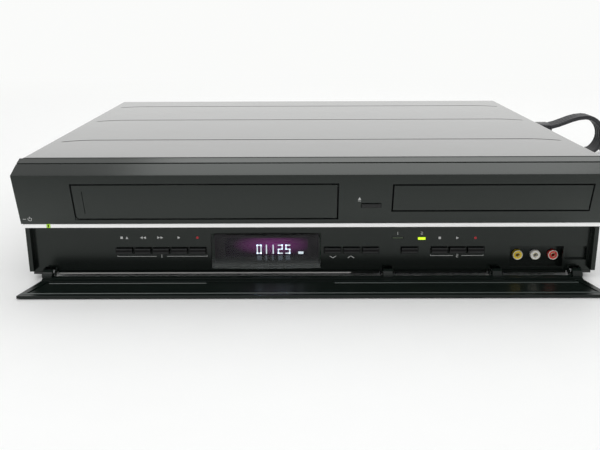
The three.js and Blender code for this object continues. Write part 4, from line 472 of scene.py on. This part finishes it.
# Display tube
# A flat vacuum tube of dark glass behind the window. Its numerals glow a cold white in a
# violet haze, and a black mask frames its face.
tube_glass = finish("tube_glass", (0.002, 0.001, 0.003), 0.5, edge=False)
tube_tree = tube_glass.node_tree
tube_shader = shader_of(tube_glass)
tube_place = tube_tree.nodes.new("ShaderNodeTexCoord")
tube_middle = tube_tree.nodes.new("ShaderNodeMapping")
tube_middle.inputs["Location"].default_value = (-1.15, -0.8, -1.1)
tube_middle.inputs["Scale"].default_value = (2.0, 1.6, 1.7)
tube_halo = tube_tree.nodes.new("ShaderNodeTexGradient")
tube_halo.gradient_type = "SPHERICAL"
tube_tint = tube_tree.nodes.new("ShaderNodeValToRGB")
tube_tint.color_ramp.elements[0].color = (0.004, 0.002, 0.006, 1)
tube_tint.color_ramp.elements[1].color = (0.3, 0.045, 0.28, 1)
tube_tree.links.new(tube_place.outputs["Generated"], tube_middle.inputs["Vector"])
tube_tree.links.new(tube_middle.outputs["Vector"], tube_halo.inputs["Vector"])
tube_tree.links.new(tube_halo.outputs["Color"], tube_tint.inputs["Fac"])
tube_tree.links.new(tube_tint.outputs["Color"], tube_shader.inputs["Emission Color"])
tube_shader.inputs["Emission Strength"].default_value = 1.0
tube_shader.inputs["Specular IOR Level"].default_value = 0.0
dress("display_tube", tube_glass)


def bar(left, foot, right, head):
    return [(left, foot), (right, foot), (right, head), (left, head)]


def numeral(digit, left, foot, width, height, stroke):
    """Outlines of one seven-stroke numeral."""
    middle, head, right = foot + height / 2, foot + height, left + width
    strokes = {
        "top": (left, head - stroke, right, head),
        "middle": (left, middle - stroke / 2, right, middle + stroke / 2),
        "bottom": (left, foot, right, foot + stroke),
        "upper_left": (left, middle, left + stroke, head),
        "upper_right": (right - stroke, middle, right, head),
        "lower_left": (left, foot, left + stroke, middle),
        "lower_right": (right - stroke, foot, right, middle),
    }
    lit = {
        "0": ("top", "bottom", "upper_left", "upper_right", "lower_left", "lower_right"),
        "1": ("upper_right", "lower_right"),
        "2": ("top", "middle", "bottom", "upper_right", "lower_left"),
        "5": ("top", "middle", "bottom", "upper_left", "lower_right"),
    }[digit]
    return [bar(*strokes[name]) for name in lit]


def marks(name, outlines, surface_y, material, body="player"):
    """Flat marks on a face of the front, each outline given by its X and Z in millimetres."""
    mesh = bpy.data.meshes.new(name)
    layer = bmesh.new()
    for outline in outlines:
        layer.faces.new([
            layer.verts.new((x / 1000, surface_y(z) / 1000 + EDGE_Y, z / 1000))
            for x, z in outline
        ])
    layer.to_mesh(mesh)
    layer.free()
    mesh.materials.append(material)
    piece = bpy.data.objects.new(name, mesh)
    scene.collection.objects.link(piece)
    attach(piece, body)


# Depths of the tube's layers behind the edge of the cover, in millimetres.
NUMERAL_DEPTH, MASK_DEPTH, FACE_DEPTH = 4.8, 4.85, 4.95
NUMERAL_FOOT, NUMERAL_WIDTH, NUMERAL_HEIGHT, NUMERAL_STROKE = 16.8, 3.8, 7.4, 0.9
lit_white = finish("lit_white", (0.8, 0.9, 1.0), 0.5, edge=False)
light_up(lit_white, (0.8, 0.92, 1.0), 1.7)
digits = (("0", -42.6), ("1", -38.4), ("1", -33.2), ("2", -26.2), ("5", -20.4))
lit_block = bar(-10.4, 16.6, -6.4, 18.6)
lit_strokes = [lit_block]
for digit, left in digits:
    lit_strokes += numeral(
        digit, left, NUMERAL_FOOT, NUMERAL_WIDTH, NUMERAL_HEIGHT, NUMERAL_STROKE,
    )
marks("display_numerals", lit_strokes, lambda z: NUMERAL_DEPTH, lit_white)
# Painted reflection: faint glowing streaks under the numerals stand in for the numerals mirrored
# in the foot of the window.
STREAK_FOOT, STREAK_HEAD = 11.6, 15.4
streak_spans = (
    (-42.4, -39.0), (-36.0, -34.6), (-30.8, -29.4), (-26.0, -22.6), (-20.2, -16.8),
)
painted_streak_glow = finish("painted_streak_glow", (0.02, 0.025, 0.03), 0.5, edge=False)
light_up(painted_streak_glow, (0.65, 0.8, 1.0), 0.14)
streaks = [bar(left, STREAK_FOOT, right, STREAK_HEAD) for left, right in streak_spans]
marks("display_painted_streaks", streaks, lambda z: NUMERAL_DEPTH, painted_streak_glow)
face_left, face_foot, face_right, face_head = -66.9, 14.2, -2.9, 29.6
mask_left, mask_foot, mask_right, mask_head = -75, 9.8, 5.2, 34.6
lit_face = [bar(face_left, face_foot, face_right, face_head)]
marks("display_face", lit_face, lambda z: FACE_DEPTH, tube_glass)
mask_black = finish("mask_black", (0.002, 0.002, 0.002), 0.7, edge=False)
mask_edges = [
    bar(mask_left, mask_foot, face_left, mask_head),
    bar(face_right, mask_foot, mask_right, mask_head),
    bar(face_left, mask_foot, face_right, face_foot),
    bar(face_left, face_head, face_right, mask_head),
]
marks("display_mask", mask_edges, lambda z: MASK_DEPTH, mask_black)

# Front jacks
# Turned barrels with coloured plastic rings, yellow for the picture, white and red for
# sound. Each barrel ends in a pale rolled rim round a bright contact sleeve.
yellow_plastic = finish("yellow_plastic", (0.85, 0.62, 0.02), 0.35)
white_plastic = finish("white_plastic", (0.82, 0.82, 0.8), 0.35)
red_plastic = finish("red_plastic", (0.72, 0.03, 0.03), 0.35)
dress("video_jack", yellow_plastic)
dress("left_audio_jack", white_plastic)
dress("right_audio_jack", red_plastic)
rim_cream = finish("rim_cream", (0.85, 0.83, 0.72), 0.3)
contact_metal = finish("contact_metal", (0.7, 0.62, 0.4), 0.25, metallic=1.0)
RIM_RADIUS, SLEEVE_RADIUS, RIM_THICKNESS = 0.0035, 0.0016, 0.0003
RIM_PROUD = 0.0001
RING_POINTS = 32


def ring(name, place, radius, thickness, material):
    """A round wire ring that faces the front."""
    curve = bpy.data.curves.new(name, "CURVE")
    curve.dimensions = "3D"
    curve.bevel_depth = thickness
    curve.bevel_resolution = 3
    loop = curve.splines.new("POLY")
    loop.points.add(RING_POINTS - 1)
    loop.use_cyclic_u = True
    x, y, z = place
    for i, point in enumerate(loop.points):
        angle = i / RING_POINTS * 2 * math.pi
        point.co = (x + radius * math.cos(angle), y, z + radius * math.sin(angle), 1)
    curve.materials.append(material)
    piece = bpy.data.objects.new(name, curve)
    scene.collection.objects.link(piece)
    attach(piece, "player")


for node in ("video_jack", "left_audio_jack", "right_audio_jack"):
    low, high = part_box(node)
    jack_mouth = ((low.x + high.x) / 2, low.y - RIM_PROUD, (low.z + high.z) / 2)
    ring(node + "_rim", jack_mouth, RIM_RADIUS, RIM_THICKNESS, rim_cream)
    ring(node + "_contact", jack_mouth, SLEEVE_RADIUS, RIM_THICKNESS, contact_metal)

# Front door
# A long dark lid in glossy smoked plastic, hung on four short arms and open on its stop.
# Thin beads are moulded on its inner side, two near the arms and one along the free edge; their
# lighter colour is a painted highlight of their edges.
door_black = finish(
    "door_black", (0.0035, 0.007, 0.0055), 0.3, grain=0.08, grain_size=1600, shift=0.02,
)
shader_of(door_black).inputs["Specular IOR Level"].default_value = 0.3
dress("front_door", door_black)
BEAD_HALF_WIDTH, BEAD_HEIGHT = 0.0006, 0.0004
INNER_BEADS, EDGE_BEAD = (-0.02065, 0.0022), (-0.0425, 0.0028)
bead_profile = (
    (-BEAD_HALF_WIDTH, 0), (-BEAD_HALF_WIDTH / 2, BEAD_HEIGHT),
    (BEAD_HALF_WIDTH / 2, BEAD_HEIGHT), (BEAD_HALF_WIDTH, 0),
)
bead_rows = (
    (-0.197, -0.079, INNER_BEADS), (0.017, 0.199, INNER_BEADS), (-0.2105, 0.2105, EDGE_BEAD),
)
bead_mesh = bpy.data.meshes.new("door_beads")
beads = bmesh.new()
for left, right, (middle, foot) in bead_rows:
    corners = [
        [beads.verts.new((x, middle + y + EDGE_Y, foot + z)) for x in (left, right)]
        for y, z in bead_profile
    ]
    for low, high in zip(corners, corners[1:]):
        beads.faces.new((low[0], low[1], high[1], high[0]))
    beads.faces.new([pair[0] for pair in reversed(corners)])
    beads.faces.new([pair[1] for pair in corners])
beads.to_mesh(bead_mesh)
beads.free()
# Painted highlight: the beads are coloured lighter than the door plastic they are moulded in.
bead_mesh.materials.append(finish("bead_painted_highlight", (0.06, 0.075, 0.07), 0.22))
door_beads = bpy.data.objects.new("door_beads", bead_mesh)
scene.collection.objects.link(door_beads)
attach(door_beads, "door")

# Prints of the front
# Silk screened marks in pale grey ink, red for the recording keys: key signs, brackets with
# plain numbers, the tray sign and the power sign. Their places are in millimetres across
# and up the face.
PANEL_INK_Y = -4.04
FACE_HEAD_Y, FACE_HEAD_Z, FACE_LEAN = -22.14, 85.2, 10.5 / 39


def lower_panel_y(z):
    return PANEL_INK_Y


def upper_face_y(z):
    return FACE_HEAD_Y + (FACE_HEAD_Z - z) * FACE_LEAN


def stroke(ends, width):
    """A straight inked line between two places."""
    (xa, za), (xb, zb) = ends
    length = math.dist(*ends)
    side_x, side_z = (zb - za) / length * width / 2, (xa - xb) / length * width / 2
    return [(xa + side_x, za + side_z), (xb + side_x, zb + side_z),
            (xb - side_x, zb - side_z), (xa - side_x, za - side_z)]


def round_place(x, z, radius, angle):
    return x + radius * math.cos(angle), z + radius * math.sin(angle)


def dot(x, z, radius, sides=16):
    return [round_place(x, z, radius, i / sides * 2 * math.pi) for i in range(sides)]


def pointer(x, z, size, way):
    """A filled triangle that points right, left or up."""
    if way == "up":
        return [(x - size / 2, z - size / 2), (x + size / 2, z - size / 2), (x, z + size / 2)]
    tip = size / 2 if way == "right" else -size / 2
    corners = [(x - tip, z - size / 2), (x + tip, z), (x - tip, z + size / 2)]
    return corners if way == "right" else corners[::-1]


SIGN = 2.1
STOP_SIGN = 1.8
LEFT_SIGN_Z, RIGHT_SIGN_Z = 32.9, 32.1
grey_signs = [
    bar(-145.2, LEFT_SIGN_Z - STOP_SIGN / 2, -143.4, LEFT_SIGN_Z + STOP_SIGN / 2),
    bar(96.0, RIGHT_SIGN_Z - STOP_SIGN / 2, 97.8, RIGHT_SIGN_Z + STOP_SIGN / 2),
    pointer(110.4, RIGHT_SIGN_Z, SIGN, "right"),
]
left_pointers = (
    (-140.3, "up"), (-129.3, "left"), (-126.9, "left"),
    (-116.2, "right"), (-113.8, "right"), (-100.8, "right"),
)
for x, way in left_pointers:
    grey_signs.append(pointer(x, LEFT_SIGN_Z, SIGN, way))
BRACKET_FOOT, BRACKET_HEAD, TICK_HEAD, BRACKET_LINE = 17.8, 18.1, 18.7, 0.3
brackets = ((-148.4, -118.6, -110.6, -79.7), (90.2, 107.6, 114.0, 130.7))
for start, number_left, number_right, end in brackets:
    grey_signs += [
        bar(start, BRACKET_FOOT, number_left, BRACKET_HEAD),
        bar(number_right, BRACKET_FOOT, end, BRACKET_HEAD),
        bar(start, BRACKET_HEAD, start + BRACKET_LINE, TICK_HEAD),
        bar(end - BRACKET_LINE, BRACKET_HEAD, end, TICK_HEAD),
    ]
NUMBER_WIDTH, NUMBER_STROKE = 1.6, 0.4
half_numbers = (
    ("1", -116.0, 16.8, 2.6), ("2", 110.0, 16.6, 2.6),
    ("1", 63.6, 34.6, 2.4), ("2", 82.4, 34.6, 2.4),
)
for digit, left, foot, height in half_numbers:
    grey_signs += numeral(digit, left, foot, NUMBER_WIDTH, height, NUMBER_STROKE)
CHEVRON_Z, CHEVRON_HALF, CHEVRON_DEPTH, CHEVRON_STROKE = 17.1, 2.4, 0.8, 0.45
for x, way in ((16.0, -1), (29.8, 1)):
    tip, end = CHEVRON_Z + way * CHEVRON_DEPTH, CHEVRON_Z - way * CHEVRON_DEPTH
    for side in (-1, 1):
        ends = ((x + side * CHEVRON_HALF, end), (x, tip))
        grey_signs.append(stroke(ends, CHEVRON_STROKE))
grey_ink = finish("grey_ink", (0.55, 0.56, 0.55), 0.5, edge=False)
red_ink = finish("red_ink", (0.42, 0.012, 0.02), 0.5, edge=False)
record_dots = [dot(-86.8, 32.8, 1.0), dot(123.9, 32.0, 1.0)]
marks("panel_signs", grey_signs, lower_panel_y, grey_ink)
marks("record_signs", record_dots, lower_panel_y, red_ink)

# The tray sign stands over its key, and the power sign, a ring open at the top with a bar
# in the gap and a dash beside it, stands over the power key.
upper_signs = [pointer(34.6, 66.4, 2.2, "up"), bar(33.5, 64.2, 35.7, 64.6)]
POWER_X, POWER_Z, POWER_RADIUS, POWER_STROKE = -209.2, 50.2, 1.4, 0.35
POWER_START, POWER_SWEEP, POWER_STEPS = 125, 290, 12
power_ring = [
    round_place(
        POWER_X, POWER_Z, POWER_RADIUS, math.radians(POWER_START + i * POWER_SWEEP / POWER_STEPS),
    )
    for i in range(POWER_STEPS + 1)
]
for ends in zip(power_ring, power_ring[1:]):
    upper_signs.append(stroke(ends, POWER_STROKE))
upper_signs.append(stroke(((POWER_X, POWER_Z + 0.2), (POWER_X, POWER_Z + 2.0)), POWER_STROKE))
upper_signs.append(bar(-214.4, 50.0, -212.2, 50.0 + POWER_STROKE))
marks("upper_signs", upper_signs, upper_face_y, grey_ink)

# Seams
# The gaps round the cassette flap and the tray front, the upright line scribed on the flap and
# the split of the power lamp are drawn as dark lines of painted shade, the shade inside these
# gaps and grooves, which mirror almost nothing.
painted_seam_shade = finish("painted_seam_shade", (0.002, 0.003, 0.003), 0.5, edge=False)
shader_of(painted_seam_shade).inputs["Specular IOR Level"].default_value = 0.08
SEAM = 0.5
SCRIBE_X, SCRIBE_FOOT, SCRIBE_HEAD = -167.4, 54.6, 72.6
scribe = [stroke(((SCRIBE_X, SCRIBE_FOOT), (SCRIBE_X, SCRIBE_HEAD)), SEAM)]
marks("flap_scribe", scribe, upper_face_y, painted_seam_shade, "flap")
cassette_mouth = (-175.0, 49.8, 19.0, 78.0)
tray_mouth = (58.7, 56.0, 203.6, 77.2)
seams = []
for left, foot, right, head in (cassette_mouth, tray_mouth):
    seams.append(bar(left - SEAM, head, right + SEAM, head + SEAM))
    seams.append(bar(left - SEAM, foot - SEAM, right + SEAM, foot))
    seams.append(bar(left - SEAM, foot, left, head))
    seams.append(bar(right, foot, right + SEAM, head))
marks("mouth_seams", seams, upper_face_y, painted_seam_shade)
LAMP_FACE_Y = -11.24
lamp_split = [bar(-197.0, 43.4, -196.0, 45.5)]
marks("power_lamp_split", lamp_split, lambda z: LAMP_FACE_Y, painted_seam_shade)

# Boards and the parts on them
# Green glass fibre boards, the front one upright behind the keys and the others on posts.
# They carry the capacitor, the finned heat sink, the wound transformer, the tuner can and
# the block of rear jacks.
board_green = finish("board_green", (0.05, 0.16, 0.07), 0.45)
for name in ("front_board", "main_board"):
    dress(name, board_green)
power_green = finish("power_green", (0.05, 0.16, 0.07), 0.45)
CAPACITOR_LOW, CAPACITOR_HIGH = (0.1283, 0.1489, 0.0158), (0.1507, 0.1713, 0.06)
HEAT_SINK_LOW, HEAT_SINK_HIGH = (0.139, 0.1348, 0.0158), (0.19, 0.1473, 0.06)
CORE_LOW, CORE_HIGH = (0.147, 0.1047, 0.0155), (0.182, 0.1254, 0.0465)
patch(power_green, CAPACITOR_LOW, CAPACITOR_HIGH, (0.012, 0.014, 0.03), 0.3)
patch(power_green, HEAT_SINK_LOW, HEAT_SINK_HIGH, (0.6, 0.61, 0.62), 0.35, metallic=1.0)
dress("power_board", power_green)
wound_tape = finish("wound_tape", (0.62, 0.45, 0.1), 0.5)
patch(wound_tape, CORE_LOW, CORE_HIGH, (0.09, 0.085, 0.08), 0.45, metallic=0.7)
dress("mains_transformer", wound_tape)
dress("tuner_block", finish("tin_plate", (0.58, 0.59, 0.6), 0.35, metallic=0.9))
dress("rear_jack_block", finish("jack_black", (0.03, 0.03, 0.03), 0.5))
orange_plastic = finish("orange_plastic", (0.8, 0.25, 0.03), 0.35)
REAR_JACK_LEFT, REAR_JACK_PITCH, REAR_JACK_MOUTH = -0.083, 0.014, 0.188
REAR_RING_RADIUS, REAR_RING_THICKNESS = 0.0036, 0.00045
rear_rows = {
    0.0384: (yellow_plastic, white_plastic, red_plastic, orange_plastic),
    0.0234: (yellow_plastic, white_plastic, red_plastic, yellow_plastic),
}
for row_height, colours in rear_rows.items():
    for column, colour in enumerate(colours):
        ring(
            f"rear_jack_{colour.name}_{column}",
            (REAR_JACK_LEFT + column * REAR_JACK_PITCH, REAR_JACK_MOUTH, row_height),
            REAR_RING_RADIUS, REAR_RING_THICKNESS, colour,
        )

# Screws
# Zinc plated pan heads with pressed cross recesses. Six hold the rear panel and its jacks,
# and two on each side hold the cover.
screw_zinc = finish("screw_zinc", (0.55, 0.56, 0.57), 0.28, metallic=1.0, edge=False)
HEAD_STEPS = ((0.0027, 0), (0.0027, 0.0002), (0.0022, 0.0006), (0.0016, 0.00075))
CROSS_STEPS = ((1, 0.00075), (0.8, 0.0002))
CROSS_LENGTH, CROSS_WIDTH = 0.0013, 0.00034
NEARLY_ZERO = 1e-9
spokes = [
    math.radians(90 * quarter + degrees)
    for quarter in range(4) for degrees in (0, 14.66, 29.5, 45, 60.5, 75.34)
]


def cross_reach(angle):
    """How far the cross recess reaches from its middle at an angle."""
    side, rise = abs(math.cos(angle)) + NEARLY_ZERO, abs(math.sin(angle)) + NEARLY_ZERO
    return max(
        min(CROSS_LENGTH / side, CROSS_WIDTH / rise),
        min(CROSS_WIDTH / side, CROSS_LENGTH / rise),
    )


def screws(name, places, out, across):
    """Pan heads whose flat sides lie on the places and which stand out along `out`."""
    up = out.cross(across)
    steps = [(height, [radius] * len(spokes)) for radius, height in HEAD_STEPS]
    for share, height in CROSS_STEPS:
        steps.append((height, [cross_reach(angle) * share for angle in spokes]))
    heads = bmesh.new()
    for place in places:
        rings = [[
            heads.verts.new(
                Vector(place) + out * height
                + across * reach * math.cos(angle) + up * reach * math.sin(angle)
            )
            for angle, reach in zip(spokes, reaches)
        ] for height, reaches in steps]
        for low, high in zip(rings, rings[1:]):
            for i in range(len(spokes)):
                j = (i + 1) % len(spokes)
                heads.faces.new((low[i], low[j], high[j], high[i]))
        heads.faces.new(rings[-1])
        heads.faces.new(reversed(rings[0]))
    mesh = bpy.data.meshes.new(name)
    heads.to_mesh(mesh)
    heads.free()
    mesh.materials.append(screw_zinc)
    piece = bpy.data.objects.new(name, mesh)
    scene.collection.objects.link(piece)
    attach(piece, "player")


rear_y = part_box("rear_panel")[1].y
TOP_ROW, FOOT_ROW = 0.084, 0.018
JACKS_MIDDLE = (-0.062, 0.0309)
screws(
    "rear_screws",
    [(x, rear_y, z) for x, z in (
        (-0.2, TOP_ROW), (0.0, TOP_ROW), (0.2, TOP_ROW), (-0.2, FOOT_ROW), (0.06, FOOT_ROW),
        JACKS_MIDDLE,
    )],
    Vector((0, 1, 0)), Vector((-1, 0, 0)),
)
cover_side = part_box("top_cover")[1].x
SIDE_ROW, SIDE_DEPTHS = 0.02, (-0.09, 0.14)
for side, name in ((-1, "left"), (1, "right")):
    screws(
        f"{name}_side_screws",
        [(side * cover_side, y, SIDE_ROW) for y in SIDE_DEPTHS],
        Vector((side, 0, 0)), Vector((0, side, 0)),
    )

# Cassette deck
# Two halves of the head drum in bright aluminium, moulded reel tables, a ground capstan
# with its flywheel and a rubber pinch roller. They sit on posts of the zinc plated
# chassis, and the roller on its arm.
bright_metal = finish("bright_metal", (0.78, 0.79, 0.8), 0.22, metallic=1.0)
for name in ("drum_base", "head_drum", "capstan"):
    dress(name, bright_metal)
natural_plastic = finish("natural_plastic", (0.72, 0.7, 0.63), 0.5)
for name in ("supply_reel", "take_up_reel"):
    dress(name, natural_plastic)
dress("pinch_roller", foot_rubber)

# Disc drive
# A black moulded tub carries the tray on its ledges; the white gear drives the rack under
# the tray, and the clamp puck hangs in the bridge over the turntable.
drive_black = finish("drive_black", (0.028, 0.029, 0.03), 0.5, grain=0.2, grain_size=1500)
for name in ("drive_frame", "disc_tray", "disc_turntable", "pickup_sled"):
    dress(name, drive_black)
acetal = finish("acetal", (0.8, 0.8, 0.77), 0.4)
for name in ("tray_gear", "disc_clamp"):
    dress(name, acetal)

# Table, backdrop and light
# A pale table that runs up into a pale wall, in an evenly lit white room. One soft lamp
# stands above and behind, and one in front, so that the black front keeps its edges.
TABLE_HALF_WIDTH, TABLE_FRONT, TABLE_BACK = 4.0, -3.0, 1.6
SWEEP_RADIUS, SWEEP_STEPS, WALL_HEIGHT = 0.7, 8, 3.2
table_mesh = bpy.data.meshes.new("table")
sweep = bmesh.new()
profile = [(TABLE_FRONT, 0.0), (TABLE_BACK, 0.0)]
for i in range(1, SWEEP_STEPS + 1):
    angle = i / SWEEP_STEPS * math.pi / 2
    profile.append((
        TABLE_BACK + SWEEP_RADIUS * math.sin(angle), SWEEP_RADIUS * (1 - math.cos(angle)),
    ))
profile.append((TABLE_BACK + SWEEP_RADIUS, WALL_HEIGHT))
rows = [
    [sweep.verts.new((x, y, z)) for x in (-TABLE_HALF_WIDTH, TABLE_HALF_WIDTH)]
    for y, z in profile
]
for low, high in zip(rows, rows[1:]):
    sweep.faces.new((low[0], low[1], high[1], high[0])).smooth = True
sweep.to_mesh(table_mesh)
sweep.free()
table = bpy.data.objects.new("table", table_mesh)
scene.collection.objects.link(table)
table_white = finish("table_white", (0.93, 0.935, 0.93), 0.6, shift=0.004, edge=False)
table_mesh.materials.append(table_white)
# Far behind the player the table turns into plain white, for the eye and in gloss.
table_tree = table_white.node_tree
table_rays = table_tree.nodes.new("ShaderNodeLightPath")
table_place = table_tree.nodes.new("ShaderNodeTexCoord")
table_axes = table_tree.nodes.new("ShaderNodeSeparateXYZ")
table_tree.links.new(table_place.outputs["Object"], table_axes.inputs["Vector"])
table_far = table_tree.nodes.new("ShaderNodeMapRange")
table_far.interpolation_type = "SMOOTHSTEP"
table_far.inputs["From Min"].default_value = 0.2
table_far.inputs["From Max"].default_value = 1.5
table_tree.links.new(table_axes.outputs["Y"], table_far.inputs["Value"])
table_seen = table_rays.outputs["Is Camera Ray"]
for ray in ("Is Glossy Ray", "Is Transmission Ray"):
    either = table_tree.nodes.new("ShaderNodeMath")
    either.operation = "MAXIMUM"
    table_tree.links.new(table_seen, either.inputs[0])
    table_tree.links.new(table_rays.outputs[ray], either.inputs[1])
    table_seen = either.outputs[0]
table_amount = table_tree.nodes.new("ShaderNodeMath")
table_amount.operation = "MULTIPLY"
table_tree.links.new(table_far.outputs["Result"], table_amount.inputs[0])
table_tree.links.new(table_seen, table_amount.inputs[1])
table_bright = table_tree.nodes.new("ShaderNodeEmission")
table_bright.inputs["Color"].default_value = (0.96, 0.965, 0.955, 1)
table_mix = table_tree.nodes.new("ShaderNodeMixShader")
table_tree.links.new(table_amount.outputs[0], table_mix.inputs[0])
table_tree.links.new(shader_of(table_white).outputs[0], table_mix.inputs[1])
table_tree.links.new(table_bright.outputs[0], table_mix.inputs[2])
table_tree.links.new(table_mix.outputs[0], table_tree.nodes["Material Output"].inputs["Surface"])

world = bpy.data.worlds.new("room")
world.use_nodes = True
room_light = world.node_tree.nodes["Background"]
room_light.inputs["Color"].default_value = (1.0, 1.0, 1.0, 1)
room_light.inputs["Strength"].default_value = 0.73
scene.world = world
for name, place, size, power in (
    ("lamp_above", (0.24, 1.03, 1.47), 1.5, 9.0),
    ("lamp_front", (-0.4, -1.1, 1.5), 1.2, 8.0),
):
    lamp_data = bpy.data.lights.new(name, "AREA")
    lamp_data.size = size
    lamp_data.energy = power
    lamp = bpy.data.objects.new(name, lamp_data)
    lamp.location = place
    lamp.rotation_euler = (-Vector(place)).to_track_quat("-Z", "Y").to_euler()
    scene.collection.objects.link(lamp)
scene.view_settings.view_transform = "Standard"
